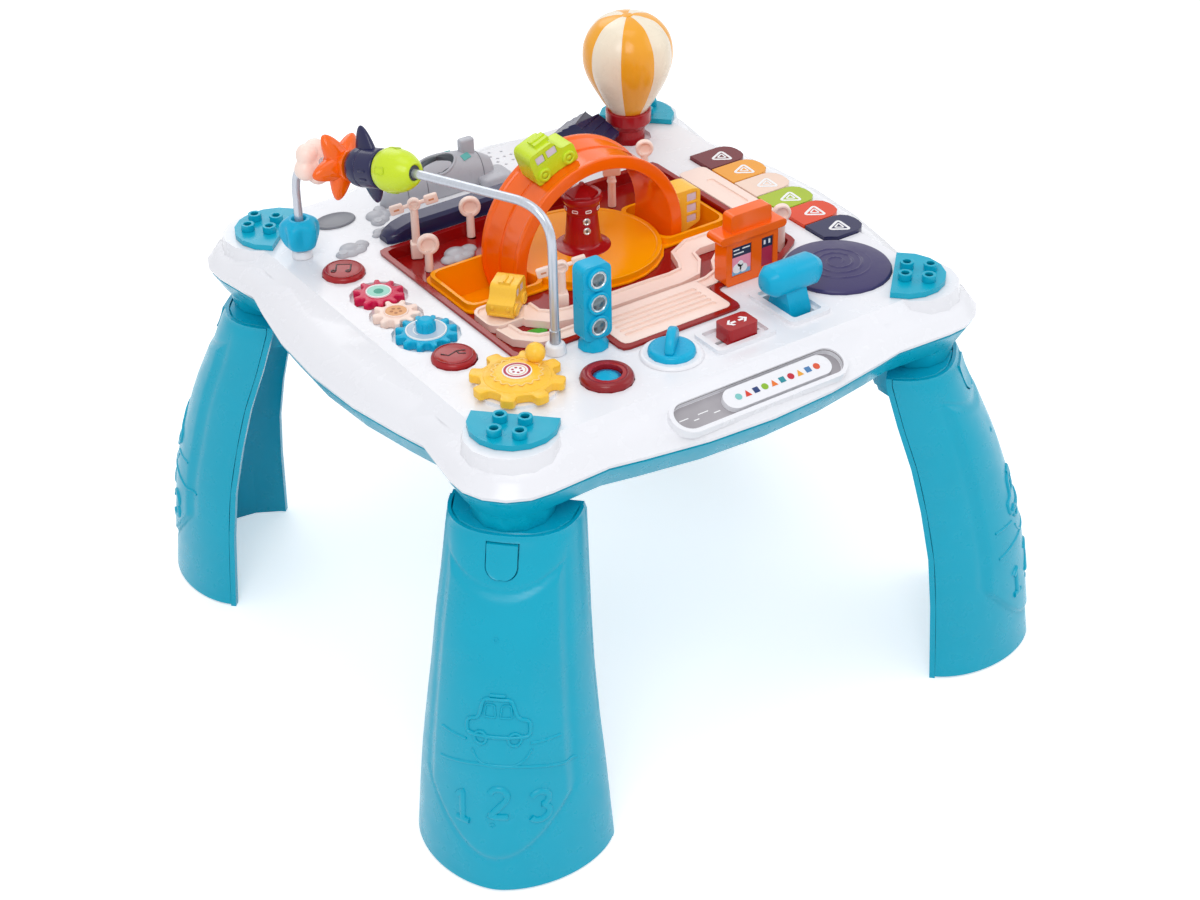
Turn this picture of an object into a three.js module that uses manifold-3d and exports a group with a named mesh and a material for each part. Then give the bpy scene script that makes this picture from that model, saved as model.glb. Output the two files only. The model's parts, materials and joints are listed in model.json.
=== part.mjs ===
// Musical activity table for small children, in millimetres, Z up, floor at zero.
// The front edge faces minus Y. Each sub-part has its own sizes here and its own function below.
import * as THREE from "three";
import { mergeVertices } from "three/addons/utils/BufferGeometryUtils.js";
import Module from "manifold-3d";

const wasm = await Module();
wasm.setup();

// Sizes shared by many pieces. Lengths are in millimetres, angles in degrees.
const gap = 0.3;
const fit = 0.5;
const bite = 1;
const weld = 0.001;
const merge = 0.02;
const quarter = Math.PI / 2;
const softSegments = 2;
const roundSegments = 3;

// Heights are written as rises over, or drops under, the level they belong to.
function above(level, rises) {
  return Object.fromEntries(Object.entries(rises).map(([name, rise]) => [name, level + rise]));
}

function below(level, drops) {
  return Object.fromEntries(Object.entries(drops).map(([name, drop]) => [name, level - drop]));
}

// Table top: white shell over a blue tray.
const deckTop = 291;
const deckDrop = { low: 23, cavityLow: 24, cavityTop: 3.8, flatFootZ: 8, padFootZ: 14 };
const deck = {
  top: deckTop, ...below(deckTop, deckDrop), wall: 3, sideX: 215, sideY: 218, neckX: 197.5, neckY: 202,
  neckAlong: 116, neckAlongY: 117, neckSoft: 1, flatX: 177, flatY: 180, flatRound: 45, flatFoot: 8,
  flatSegments: 4, cavitySegments: 3,
};
const seatZ = deck.top + gap;
const rimSteps = [
  { inset: 0, drop: deckDrop.low }, { inset: -0.8, drop: 20.6 }, { inset: 2, drop: 17.6 },
  { inset: 4.6, drop: 13 },
  { inset: 20, drop: 5.8 }, { inset: 35, drop: 1.4 },
];
const cavitySteps = [
  { inset: 3.2, drop: deckDrop.cavityLow }, { inset: 5.2, drop: 18 }, { inset: 9, drop: 14.4 },
  { inset: 22, drop: 8.6 }, { inset: 34, drop: 5 },
];
const corner = {
  x: 164.6, y: 164.1, lobe: 41, fromAngle: -10, toAngle: 96, lobeSegments: 5, padReach: 230.5, padTop: 30.5,
  padFoot: 33, padHollow: 27, segments: 14,
};
const sideShares = [0, 0.42, 0.8];
const mitreShare = 0.5;
const halfShare = 0.48;

const trayForm = {
  deep: 19.7, wall: 3, shoulder: 1.2, shoulderDrop: 2.1, waist: 3.4, taper: 10, foot: 12, footRise: 2,
};
const trayTop = deck.low - gap;
const trayBase = trayTop - trayForm.deep;
const tray = {
  ...trayForm, top: trayTop, base: trayBase, floor: trayBase + trayForm.wall,
  shoulderZ: trayTop - trayForm.shoulderDrop,
};
const collarDrop = { flareZ: 12, roof: 2, end: 40 };
const collar = {
  ...below(tray.base, collarDrop), flare: 29, flareFoot: 26.2, plug: 24.5, bore: 21, flat: 17, segments: 12,
};
const boardPost = { radius: 3, high: 7, insetX: 38, insetY: 16, segments: 6 };
const door = {
  x: 0, y: 95, length: 96, width: 62, thick: 2.4, ridge: 14, ridgeDeep: 1.2, ridges: 4, ridgePitch: 4,
  ridgeWide: 2,
};
const board = {
  x: -20, y: -122, length: 92, width: 46, thick: 1.8, chip: 14, chipHigh: 2.5, can: 4, canHigh: 9,
  canLongShare: 0.33, canWideShare: 0.25,
};
const speaker = {
  x: 33, y: 163, radius: 18, neck: 12, magnet: 10, base: tray.floor + gap, magnetHigh: 5, high: 13,
  segments: 12,
  ringA: 6, ringB: 12, holesA: 3, holesB: 8, hole: 1.6, holeSides: 4,
};

// Legs: bowed channels, open towards the middle of the table.
const legTop = collar.flareZ - gap;
const legProfile = [
  { riseShare: 0, inner: 263, outer: 328.5, half: 66.4, bowShare: 1.72 },
  { riseShare: 0.255, inner: 259.5, outer: 320.5, half: 61.2, bowShare: 1.8 },
  { riseShare: 0.416, inner: 255.5, outer: 314.2, half: 56.8, bowShare: 1.9 },
  { riseShare: 0.573, inner: 247.8, outer: 302.8, half: 52.6, bowShare: 2.05 },
  { riseShare: 0.713, inner: 239, outer: 290.8, half: 49.6, bowShare: 2.2 },
  { riseShare: 0.849, inner: 227.5, outer: 276.2, half: 46.6, bowShare: 2.35 },
  { riseShare: 0.98, inner: 217.8, outer: 263, half: 44, bowShare: 2.5 },
  { riseShare: 1, inner: 217.6, outer: 259.4, half: 42.4, bowShare: 2.5 },
].map((level) => ({ ...level, z: level.riseShare * legTop }));
const legDrop = { socketEnd: 21.7 };
const leg = {
  ...below(legTop, legDrop), wall: 3, lip: 2.2, lipThick: 4, segments: 4, capThick: 3, socketWall: 3,
};
const latchDrop = { low: 18.7, high: 6.3 };
const latch = { ...below(legTop, latchDrop), half: 9.8, proud: 0.9, round: 5, back: 1.4, flange: 1.5 };

// Corner plates with four hollow building studs each.
const plate = {
  chord: 216, straight: 229, half: 28.5, base: seatZ, thick: 4, segments: 7, pitch: 16, stud: 4.7,
  studHole: 3.1,
  studHigh: 4.8, studSegments: 8, centre: 232.4, centreArc: 222.8, outerRound: 29.2,
};

// Wire arch and its beads.
const wire = {
  radius: 3.1, deep: 6.5, socket: 6.4, socketHigh: 6, sides: 6, steps: 28, boss: 6, collar: 4.9,
  collarBack: 1.2,
  collarHigh: 3,
};
const wireZ = { foot: deck.top - wire.deep, socketTop: deck.top + wire.socketHigh };
const wireNear = { x: -88, y: -99.5, high: 102.5, run: 27 };
const wireFar = { x: -159.3, y: 113.8, high: 76, run: 27, heel: 4.5 };
const wireMiddle = { along: 118, high: 95.9, soft: 12 };
const wireSpan = Math.hypot(wireFar.x - wireNear.x, wireFar.y - wireNear.y);
const beadFit = 1.4;
const blueBead = {
  seat: 1, end: 7, lower: 11.5, upper: 12.8, high: 23, segments: 15, lobes: 5, lobeShare: 0.06,
  rowShares: [0.14, 0.62, 0.86],
};
const cloudForm = {
  room: 2.6, fromPost: 19.9, length: 17, core: 9, puff: 7.8, ring: 8.2, puffs: 5, segments: 8,
};
const flameForm = {
  behind: 7, length: 21, core: 8, spikes: 5, rootHalf: 6, rootDeep: 12, reach: 24.5, endHalf: 2.2, lean: 3,
  nozzle: 11,
  middleShare: 0.45, middleWideShare: 0.9, middleDeepShare: 0.8, middleLeanShare: 0.3,
};
const bodyForm = {
  behind: 3, length: 25, radius: 13.6, end: 11.6, slope: 3.2, fins: 2, finReach: 27.6, finHalf: 3, finRoot: 17,
  finEdge: 7,
  finAngle: -80, finBackShare: 0.8, finEdgeShare: 0.93,
};
const noseForm = {
  behind: 1, length: 27, radius: 14.9, segments: 14,
  profileShares: [[0.88, 0], [1, 0.16], [1, 0.4], [0.88, 0.68], [0.64, 0.9], [0.48, 1]],
};
const nextBead = (before, form) => before.along - before.length / 2 - form.behind - form.length / 2;
const cloudBead = { ...cloudForm, along: wireSpan - cloudForm.fromPost };
const flameBead = { ...flameForm, along: nextBead(cloudBead, flameForm) };
const bodyBead = { ...bodyForm, along: nextBead(flameBead, bodyForm) };
const noseBead = { ...noseForm, along: nextBead(bodyBead, noseForm) };

// Left edge: buttons, meshing gears and the big crank gear.
const button = {
  radius: 15, dome: 4.2, edge: 1.6, flange: 1.4, flangeThick: 1.2, wall: 2.2, crown: 11, segments: 14,
};
const musicLeft = { x: -148, y: 75 };
const musicRight = { x: -145.5, y: -68 };
const gearModule = 3.15;
const gearSlack = 0.35;
const gearWell = { deep: 3.6, floorThick: 3, extra: 2.4, hub: 3.6, segments: 14, hubSides: 8 };
const gearFloor = deck.top - gearWell.deep;
const gearForm = {
  addShare: 0.68, dedendShare: 0.92, rootShare: 0.6, crestShare: 0.3, thick: 6.4, discHigh: 1.2,
  knobTopShare: 0.7,
};
const gearCream = { x: -147.8, y: 3, teeth: 9, disc: 8.4 };
const gearPink = { teeth: 10, awayAngle: 83, disc: 8.8 };
const gearBlue = { teeth: 12, awayAngle: -84, disc: 13.8, knob: 6, knobFoot: 6.8, knobHigh: 9 };
const crank = {
  x: -131, y: -121, radius: 31, rim: 24, teeth: 8, seat: 27, seatHigh: 2.4, thick: 6, dome: 22, domeHigh: 3,
  crown: 14, knobX: 17.5, knobY: 5.5, knob: 6.6, stem: 3.8, knobRise: 8, pin: 4, pinShort: 1.5,
  toothHalf: 4.8,
  toothRound: 3.4, toothAngle: 60, edge: 1.2,
};

// Middle: town tray, sunk arena, turntable, tower and arch.
const townForm = { deep: 7, thick: 3, lipHigh: 2 };
const townFloor = deck.top - townForm.deep;
const town = {
  left: -113, right: 121, back: 85, front: -93.5, farRight: 130, floor: townFloor,
  under: townFloor - townForm.thick,
  wall: 2.5, lip: 1.8, lipTop: deck.top + townForm.lipHigh, round: 6, cutX: 95, cutY: -73, stepY: -44,
};
const notch = { left: -51, right: 43, front: -124 };
const arenaDrop = { top: 1, floor: 27, under: 29.6, deckFloor: townForm.deep, deckUnder: 9.4 };
const turntableForm = { thick: 4.3, radius: 51.8, rimDrop: 1.2, rimWide: 4, pinDrop: 6, segments: 24 };
const ringWall = 3;
const ringSlack = 0.7;
const arena = {
  x: 10, y: 14, ring: turntableForm.radius + ringSlack + ringWall, ringWall, left: -101, right: 116.3,
  front: -15.5, back: 43.5, round: 8, wall: 2.5,
  rim: 1.6, rimThick: 1.25, ...below(deck.top, arenaDrop), ledge: town.floor + gap, pin: 5, archClear: 9,
};
const turntable = { ...turntableForm, top: arena.deckFloor + gap + turntableForm.thick };
const towerLow = turntable.top - turntable.rimDrop + gap;
const towerRise = {
  neckZ: 29.3, shaftZ: 14.3, lanternZ: 42.3, roofZ: 50.8, windowLow: 18.3, windowHigh: 25.3,
};
const tower = {
  ...above(towerLow, towerRise), foot: 21, footHigh: 5, shaft: 12.6, neck: 10.8, gallery: 14.4,
  galleryHigh: 4,
  lantern: 13.8, segments: 16, door: 4.5, doorHigh: 12, doorDeep: 1.6, window: 1.8, windowSides: 6,
  turnAngle: -30,
  footShare: 0.8, roofShare: 0.45, windowShare: 1.4,
};
const archRise = { z: 3 };
const archWall = { off: 5.5, groove: 6.4, channel: 7.6, thick: 9 };
const archInner = arena.ring + archWall.off;
const arch = {
  ...above(deck.top, archRise), inner: archInner, outer: archInner + archWall.thick,
  channel: archInner + archWall.channel, groove: archInner + archWall.groove, front: -8.5, back: 37,
  rimWide: 4,
  rimSlope: 1, grooveHalf: 1.6, footAngle: 27.2, steps: 18,
};
const carForm = {
  hoodShare: 0.06, screenShare: 0.12, tailShare: 0.06, tailTopShare: 0.8, axleShare: 0.3, rackBackShare: 0.2,
  rackFrontShare: 0.14, rackHalfShare: 0.22, wheelProud: 0.9, wheelSegments: 8, paneDeep: 0.8,
  tongueShare: 0.25,
};
const limeCar = {
  turnAngle: 111, length: 35, height: 23, width: 20, under: 1.5, wheel: 5, bonnetShare: 0.55,
  bonnetLongShare: 0.28,
  round: 2.4, paneLowShare: 0.58, paneHighShare: 0.85, paneShares: [[-0.36, -0.16], [-0.1, 0.14]], rack: 1.8,
};
const bus = {
  turnAngle: 0, length: 33, height: 27, width: 19, under: 1.5, wheel: 4.6, bonnetShare: 0.5,
  bonnetLongShare: 0.04,
  round: 2.2, paneLowShare: 0.56, paneHighShare: 0.88,
  paneShares: [[-0.4, -0.2], [-0.14, 0.06], [0.12, 0.3]], rack: 1.2,
};
const taxi = {
  x: -82, y: -31, headingAngle: 220, length: 29, height: 20, width: 18.6, under: 0.2, wheel: 4.4,
  bonnetShare: 0.5,
  bonnetLongShare: 0.2, round: 2.6, paneLowShare: 0.56, paneHighShare: 0.86,
  paneShares: [[-0.34, -0.08], [-0.02, 0.18]],
  rack: 1.4,
};

// Peach roads on the town tray.
const roadForm = { thick: 5.7, sunk: 1.4, edge: 2.4, half: 8.5, frontHalf: 6, steps: 16 };
const road = { ...roadForm, base: town.floor + gap, top: town.floor + gap + roadForm.thick };
const backRoadLine = [
  [-73, -34], [-72, -48], [-62, -58], [-45, -61.5], [-20, -62], [20, -62.5], [40, -63], [51, -59],
  [57, -47], [60, -37],
  [69, -31.5], [84, -31], [114, -31],
];
const frontRoadLine = [
  [-97, -50], [-96.5, -62], [-89, -74], [-74, -80.2], [-50, -80.6], [20, -80.6], [46, -80.6], [60, -78],
  [69, -71],
  [75, -59], [86, -51.5], [100, -51], [116, -51],
];
const roadPad = { left: -104, right: -70, front: -48.5, back: -18.2, round: 9 };
const bridgeDrop = { low: 5 };
const bridge = {
  left: 106, wall: 117.6, right: 128, front: -39.5, back: -22.5, ...below(deck.top, bridgeDrop),
  deckLow: seatZ,
};
const plateHigh = 2;
const strip = {
  left: 124, right: 148, front: -38, back: 58, base: seatZ, top: deck.top + plateHigh, slotLeft: 135,
  slotRight: 141,
  slotBack: 38, slotFront: -8, slotSunk: 1, round: 5,
};
const grate = {
  left: -48, right: 40, front: -121, back: -79, top: deck.top + plateHigh, bars: 5, barSunk: 1.6, barWide: 4,
  margin: 7, round: 5,
};
const frameDrop = { z: 2.8, top: 0.4 };
const signFrame = {
  ...below(town.under, frameDrop), barHalf: 3, post: 2.8, hole: 3.2, segments: 6, disc: 6.6, discThick: 5,
  discSides: 10,
  armReach: 17, armHalf: 3.6, armThick: 3.4, cup: 4.2, cupDeep: 2, faceAngle: -25, bladeAngle: -14,
  barShare: 0.42, bladeShare: 0.3, bladeSpotShare: 0.75,
};
const signSpots = [
  { x: -92, y: 54, rise: 23, kind: "disc" },
  { x: -89, y: 76, rise: 35, kind: "arms" },
  { x: -42, y: 78, rise: 30, kind: "disc" },
  { x: 66, y: 59, rise: 21, kind: "plate" },
  { x: 98, y: 63, rise: 29, kind: "disc" },
  { x: 123, y: -67, rise: 23, kind: "disc" },
  { x: -46, y: -44, rise: 25, kind: "arms" },
];
const signs = signSpots.map((spot) => ({ ...spot, z: deck.top + spot.rise }));
const frameLeft = { x: -105.5, front: -30, back: 54 };
const frameRight = { x: 120.5, front: -40, back: 55 };
const spotOf = (sign) => [sign.x, sign.y];
const frameRoute = [
  spotOf(signs[6]), [frameLeft.x, frameLeft.front], [frameLeft.x, frameLeft.back],
  ...signs.slice(0, 5).map(spotOf),
  [frameRight.x, frameRight.back], [frameRight.x, frameRight.front], spotOf(signs[5]),
];

// Front edge.
const target = {
  x: -79.5, y: -146, radius: 17.6, ring: 10.2, dome: 5.2, edge: 2, flange: 1.4, flangeThick: 1.2, wall: 3.4,
  crown: 13,
  dishTop: deck.top + 1.2, wellDeep: 1.6, segments: 16,
};
const lightRise = { bottom: 8, top: 62 };
const light = {
  x: -63.5, y: -107, base: 10.4, baseHigh: 2, neck: 7, neckHigh: 7.5, width: 21.5, depth: 12.5,
  ...above(deck.top, lightRise), lens: 6.4, lensEdge: 1.4, lensRaise: 2, segments: 10, round: 4.5, count: 3,
  pitch: 17.2,
};
const rotaryRise = { collarTop: 2.2, discTop: 6.6, finTop: 20 };
const rotary = {
  x: -29, y: -146.5, collar: 20, disc: 15.6, fin: 12.6, finThick: 5.6, ...above(deck.top, rotaryRise), pin: 5,
  pinShort: 2, turnAngle: 45, segments: 16,
};
const cubeForm = {
  x: 19, y: -152.5, length: 24, width: 17, round: 3, high: 11.3, frameHalf: 24, frameFront: 13.5,
  frameBack: 16.5,
  rimWide: 4, rimHigh: 3, slotHalf: 1.6, slotReach: 18, stemHalf: 1.1, stemLong: 10, foot: 4,
};
const footDrop = { footTop: 4.2, footLow: 6.2 };
const cube = {
  ...cubeForm, base: seatZ, top: seatZ + cubeForm.high, left: cubeForm.x - cubeForm.frameHalf,
  right: cubeForm.x + cubeForm.frameHalf, front: cubeForm.y - cubeForm.frameFront,
  back: cubeForm.y + cubeForm.frameBack,
  slotLeft: cubeForm.x - cubeForm.slotReach, slotRight: cubeForm.x + cubeForm.slotReach,
  ...below(deck.top, footDrop),
};
const leverForm = {
  x: 73, y: -140, head: 10, headLength: 45, headSegments: 3, stemHalf: 8.6, stemDeep: 12, stemNeck: 6,
  stemFoot: 7,
  frameHalf: 17, frameFront: 25, frameBack: 26, slotReach: 18.5, rimWide: 5, rimHigh: 3, axle: 3.4,
  axleOver: 4,
  segments: 10,
};
const leverRise = { z: 23, neckZ: 15, pivotZ: -29 };
const lever = {
  ...leverForm, ...above(deck.top, leverRise), left: leverForm.x - leverForm.frameHalf,
  right: leverForm.x + leverForm.frameHalf, front: leverForm.y - leverForm.frameFront,
  back: leverForm.y + leverForm.frameBack, slotFront: leverForm.y - leverForm.slotReach,
  slotBack: leverForm.y + leverForm.slotReach,
};
const stationRise = { eave: 33.2, roofTop: 52.1, paneLow: 6.7, paneHigh: 28.7 };
const station = {
  x: 73.5, y: -91.5, width: 44, depth: 13, base: seatZ, ...above(seatZ, stationRise), eaveOver: 6,
  eaveHigh: 6,
  roofWidth: 34, roofDepth: 10, round: 3, windowDeep: 1.4, paneALeft: -17, paneARight: -0.5, paneBLeft: 8,
  paneBRight: 18,
};
const drum = {
  x: 130.5, y: -120, radius: 37.6, dome: 5.5, edge: 1.4, flange: 1.6, flangeThick: 1.2, wall: 2.4,
  segments: 24,
  crown: 24, keyMargin: 3.6,
};
const nameSlotDrop = { z: 7.6 };
const nameSlot = {
  x: -1.5, y: -203.6, ...below(deck.top, nameSlotDrop), tiltAngle: 23, length: 132, width: 21, rim: 2,
  deep: 3.4,
  floorThick: 1.2, pad: 3, sliderLength: 85, sliderWidth: 16, sliderThick: 4.2, sliderX: 14.5, segments: 4,
};

// Right edge: six piano keys.
const keyForm = { rise: 2.6, drop: 6.6 };
const keys = {
  inner: 148.8, outer: 184.6, width: 26.4, pitch: 27.6, first: 62.5, top: deck.top + keyForm.rise,
  low: deck.top - keyForm.drop, flange: 1.5, flangeThick: 1.4, clear: 0.5, roundShare: 0.4, segments: 3,
};
const keyNames = ["key_red", "key_amber", "key_cream", "key_lime", "key_orange", "key_navy"];

// Back edge.
const potDeep = 3.6;
const potRise = { rimLow: 16.8, top: 27.3, boreFloor: 20.3 };
const potFloor = deck.top - potDeep;
const pot = {
  x: 134.5, y: 135.5, recess: 17.4, floor: potFloor, foot: 12.6, waist: 12.2, rim: 17.4, flare: 5, bore: 13.9,
  ...above(potFloor + gap, potRise), segments: 16,
};
const balloonForm = {
  neck: 13.4, neckHigh: 7.2, radius: 34, high: 74.5, segments: 24, gores: 8, goreShare: 0.012,
};
const balloon = {
  ...balloonForm, low: pot.boreFloor + gap, neckTop: pot.boreFloor + gap + balloonForm.neckHigh,
  crown: pot.boreFloor + gap + balloonForm.neckHigh + balloonForm.high,
  rowShares: [[0.66, 0.15], [0.93, 0.4], [1, 0.6], [0.92, 0.78], [0.66, 0.93], [0.15, 1]],
};
const shuttle = {
  nose: -78, tail: 14, y: 146, radius: 14.4, high: 26, base: seatZ, segments: 10, cockpitX: -32,
  cockpitLong: 15,
  cockpitWide: 9.5, finX: -4, finLong: 12, finWide: 7, finHigh: 33.7, wingFront: 124, wingLeft: -2,
  wingRight: 24,
  wingHigh: 6, cockpitDeep: 4, cockpitSide: 5, liftShare: 1.1, bulgeShare: 0.8,
  sectionShares: [
    [0, 0.16], [0.05, 0.42], [0.14, 0.66], [0.28, 0.88], [0.45, 1], [0.7, 0.98], [0.88, 0.82], [1, 0.6],
  ],
};
const navyBar = {
  left: -103, right: 14, front: 90, back: 107, high: 12.5, base: seatZ, bevel: 2.4,
  rows: [
  { run: 0, highShare: 0.34, inset: 3 }, { run: 3, highShare: 0.56, inset: 1 },
  { run: 10, highShare: 0.8, inset: 0 },
    { run: 20, highShare: 1, inset: 0 },
  ],
};
const houseRise = { eave: 12.7, ridge: 28.7 };
const house = {
  x: 94, y: 136, turnAngle: 30, length: 30, half: 22, wallHalf: 16, thick: 3, base: seatZ,
  ...above(seatZ, houseRise),
  tiles: 4, step: 1.1,
};
const clouds = [
  { x: -127, y: 101, turnAngle: 20 },
  { x: -87, y: 134, turnAngle: 60 },
];
const cloud = {
  puff: 8, spread: 9, high: 2.8, sink: 0.4, sideShare: 0.8, flatShare: 0.8, crownShare: 0.6, segments: 8,
};
const dish = { x: -116, y: 146, long: 15, wide: 10, edge: 1.6, high: 0.9, segments: 12 };

// Working helpers: every piece is a THREE geometry, joined and cut through closed solids.
function toSolid(geometry) {
  const bare = geometry.index ? geometry.toNonIndexed() : geometry.clone();
  bare.deleteAttribute("normal");
  bare.deleteAttribute("uv");
  const merged = mergeVertices(bare, weld);
  const corners = merged.index.array;
  const kept = [];
  for (let i = 0; i < corners.length; i += 3) {
    const [a, b, c] = [corners[i], corners[i + 1], corners[i + 2]];
    if (a !== b && b !== c && c !== a) kept.push(a, b, c);
  }
  return new wasm.Manifold(new wasm.Mesh({
    numProp: 3,
    vertProperties: merged.attributes.position.array,
    triVerts: new Uint32Array(kept),
  }));
}

function toGeometry(solid) {
  const mesh = solid.asOriginal().simplify(merge).getMesh();
  const geometry = new THREE.BufferGeometry();
  geometry.setAttribute("position", new THREE.BufferAttribute(mesh.vertProperties, 3));
  geometry.setIndex(new THREE.BufferAttribute(mesh.triVerts, 1));
  return geometry.toNonIndexed();
}

function join(...parts) {
  return toGeometry(parts.map(toSolid).reduce((whole, part) => whole.add(part)));
}

function cut(base, ...tools) {
  return toGeometry(tools.map(toSolid).reduce((whole, tool) => whole.subtract(tool), toSolid(base)));
}

function common(a, b) {
  return toGeometry(toSolid(a).intersect(toSolid(b)));
}

// Moves a geometry by a turn about Z in degrees and a shift.
function place(geometry, x, y, z = 0, turn = 0) {
  const moved = geometry.clone();
  moved.rotateZ(THREE.MathUtils.degToRad(turn));
  moved.translate(x, y, z);
  return moved;
}

// Straight prism over a flat outline, given as [x, y] pairs or a THREE.Shape.
function prism(outline, low, high, curveSegments = softSegments) {
  const shape = outline instanceof THREE.Shape ? outline : new THREE.Shape(plan(outline));
  const geometry = new THREE.ExtrudeGeometry(shape, { depth: high - low, bevelEnabled: false, curveSegments });
  return geometry.translate(0, 0, low);
}

// Solid of revolution about Z from [radius, z] pairs, bottom to top.
function turned(profile, segments) {
  const points = profile.map(([r, z]) => new THREE.Vector2(r, z));
  return outward(new THREE.LatheGeometry(points, segments).rotateX(quarter));
}

function cylinder(radius, low, high, segments) {
  return turned([[0, low], [radius, low], [radius, high], [0, high]], segments);
}

// Closed skin through stacked loops of the same count, each loop a list of Vector3.
function skin(loops) {
  const count = loops[0].length;
  const position = [];
  const push = (...points) => points.forEach((p) => position.push(p.x, p.y, p.z));
  for (let k = 0; k + 1 < loops.length; k += 1) {
    for (let i = 0; i < count; i += 1) {
      const j = (i + 1) % count;
      push(loops[k][i], loops[k][j], loops[k + 1][j]);
      push(loops[k][i], loops[k + 1][j], loops[k + 1][i]);
    }
  }
  const lid = (loop, reversed) => {
    const flat = loop.map(flattener(loop));
    const flip = THREE.ShapeUtils.area(flat) > 0 === reversed;
    for (const [a, b, c] of THREE.ShapeUtils.triangulateShape(flat, [])) {
      if (flip) push(loop[a], loop[c], loop[b]);
      else push(loop[a], loop[b], loop[c]);
    }
  };
  lid(loops[0], true);
  lid(loops[loops.length - 1], false);
  return outward(fromPositions(position));
}

// Picks two axes that show a planar loop without folding it.
function flattener(loop) {
  const box = new THREE.Box3().setFromPoints(loop);
  const size = box.getSize(new THREE.Vector3());
  if (size.z <= Math.min(size.x, size.y)) return (p) => new THREE.Vector2(p.x, p.y);
  if (size.y <= size.x) return (p) => new THREE.Vector2(p.x, p.z);
  return (p) => new THREE.Vector2(p.y, p.z);
}

function fromPositions(position) {
  const geometry = new THREE.BufferGeometry();
  geometry.setAttribute("position", new THREE.Float32BufferAttribute(position, 3));
  return geometry;
}

// Turns a closed geometry's faces outwards where they point in.
function outward(geometry) {
  if (toSolid(geometry).volume() > 0) return geometry;
  const flat = geometry.index ? geometry.toNonIndexed() : geometry;
  const p = flat.attributes.position;
  const flipped = [];
  for (let i = 0; i < p.count; i += 3) {
    for (const k of [i, i + 2, i + 1]) flipped.push(p.getX(k), p.getY(k), p.getZ(k));
  }
  return fromPositions(flipped);
}

// Outline of a rectangle with rounded corners, as a shape.
function roundedRect(left, right, low, high, radius) {
  const shape = new THREE.Shape();
  shape.moveTo(left + radius, low);
  shape.lineTo(right - radius, low);
  shape.absarc(right - radius, low + radius, radius, -quarter, 0);
  shape.absarc(right - radius, high - radius, radius, 0, quarter);
  shape.absarc(left + radius, high - radius, radius, quarter, 2 * quarter);
  shape.absarc(left + radius, low + radius, radius, 2 * quarter, 3 * quarter);
  return shape;
}

function pill(length, width) {
  return roundedRect(-length / 2, length / 2, -width / 2, width / 2, width / 2 - weld);
}

// Offsets a closed counter-clockwise outline of Vector2 inwards.
function inset(points, distance) {
  return points.map((p, i) => {
    const before = points[(i + points.length - 1) % points.length];
    const after = points[(i + 1) % points.length];
    const n1 = new THREE.Vector2(before.y - p.y, p.x - before.x).normalize();
    const n2 = new THREE.Vector2(p.y - after.y, after.x - p.x).normalize();
    const middle = n1.clone().add(n2).normalize();
    return p.clone().addScaledVector(middle, distance / Math.max(middle.dot(n1), mitreShare));
  });
}

// Closed shape through corner points, each corner softened by its own reach.
function softShape(points, round) {
  const shape = new THREE.Shape();
  points.forEach((p, i) => {
    const before = points[(i + points.length - 1) % points.length];
    const after = points[(i + 1) % points.length];
    const into = p.clone().lerp(before, Math.min(round / p.distanceTo(before), halfShare));
    const out = p.clone().lerp(after, Math.min(round / p.distanceTo(after), halfShare));
    if (i === 0) shape.moveTo(into.x, into.y);
    else shape.lineTo(into.x, into.y);
    shape.quadraticCurveTo(p.x, p.y, out.x, out.y);
  });
  return shape;
}

const plan = (pairs) => pairs.map(([x, y]) => new THREE.Vector2(x, y));
const ring = (points, z) => points.map((p) => new THREE.Vector3(p.x, p.y, z));
const radians = THREE.MathUtils.degToRad;
const boxLine = (left, right, front, back) => [[left, front], [right, front], [right, back], [left, back]];
const block = (left, right, front, back, low, high) => prism(boxLine(left, right, front, back), low, high);

// Even spots on a circle about zero.
function circlePoints(radius, count) {
  return arcPoints(0, 0, radius, 0, 360, count).slice(1);
}

// Extrudes an outline drawn in X and Z towards plus Y, its near face at from.
function upright(outline, from, depth) {
  const shape = outline instanceof THREE.Shape ? outline : new THREE.Shape(plan(outline));
  return new THREE.ExtrudeGeometry(shape, { depth, bevelEnabled: false, curveSegments: softSegments })
    .rotateX(quarter).translate(0, from + depth, 0);
}

function arcPoints(x, y, radius, from, to, count) {
  return Array.from({ length: count + 1 }, (_, k) => {
    const angle = radians(from + ((to - from) * k) / count);
    return [x + radius * Math.cos(angle), y + radius * Math.sin(angle)];
  });
}

// Flat band of even width along a soft line through [x, y] points.
function ribbon(line, half, steps) {
  const curve = new THREE.CatmullRomCurve3(ring(plan(line), 0), false, "centripetal");
  const left = [];
  const right = [];
  for (let k = 0; k <= steps; k += 1) {
    const p = curve.getPointAt(k / steps);
    const t = curve.getTangentAt(k / steps);
    left.push([p.x - t.y * half, p.y + t.x * half]);
    right.unshift([p.x + t.y * half, p.y - t.x * half]);
  }
  return [...left, ...right].reverse();
}

// Table outline: bowed sides, soft necks and round corner lobes.
function deckOutline() {
  const bowed = (reach, neck, t) => neck + (reach - neck) * (1 - t * t);
  const sideX = sideShares.map((t) => [bowed(deck.sideX, deck.neckX, t), deck.neckAlong * t]);
  const sideY = sideShares.map((t) => [deck.neckAlongY * t, bowed(deck.sideY, deck.neckY, t)]).reverse();
  const quarterLine = [
    ...sideX,
    [deck.neckX + deck.neckSoft, deck.neckAlong],
    ...arcPoints(corner.x, corner.y, corner.lobe, corner.fromAngle, corner.toAngle, corner.lobeSegments),
    [deck.neckAlongY, deck.neckY + deck.neckSoft],
    ...sideY,
  ];
  const mirrored = [...quarterLine].reverse().slice(1).map(([x, y]) => [-x, y]);
  const half = [...quarterLine, ...mirrored];
  const opposite = half.slice(1, -1).map(([x, y]) => [-x, -y]);
  return plan([...half, ...opposite]);
}

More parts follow.
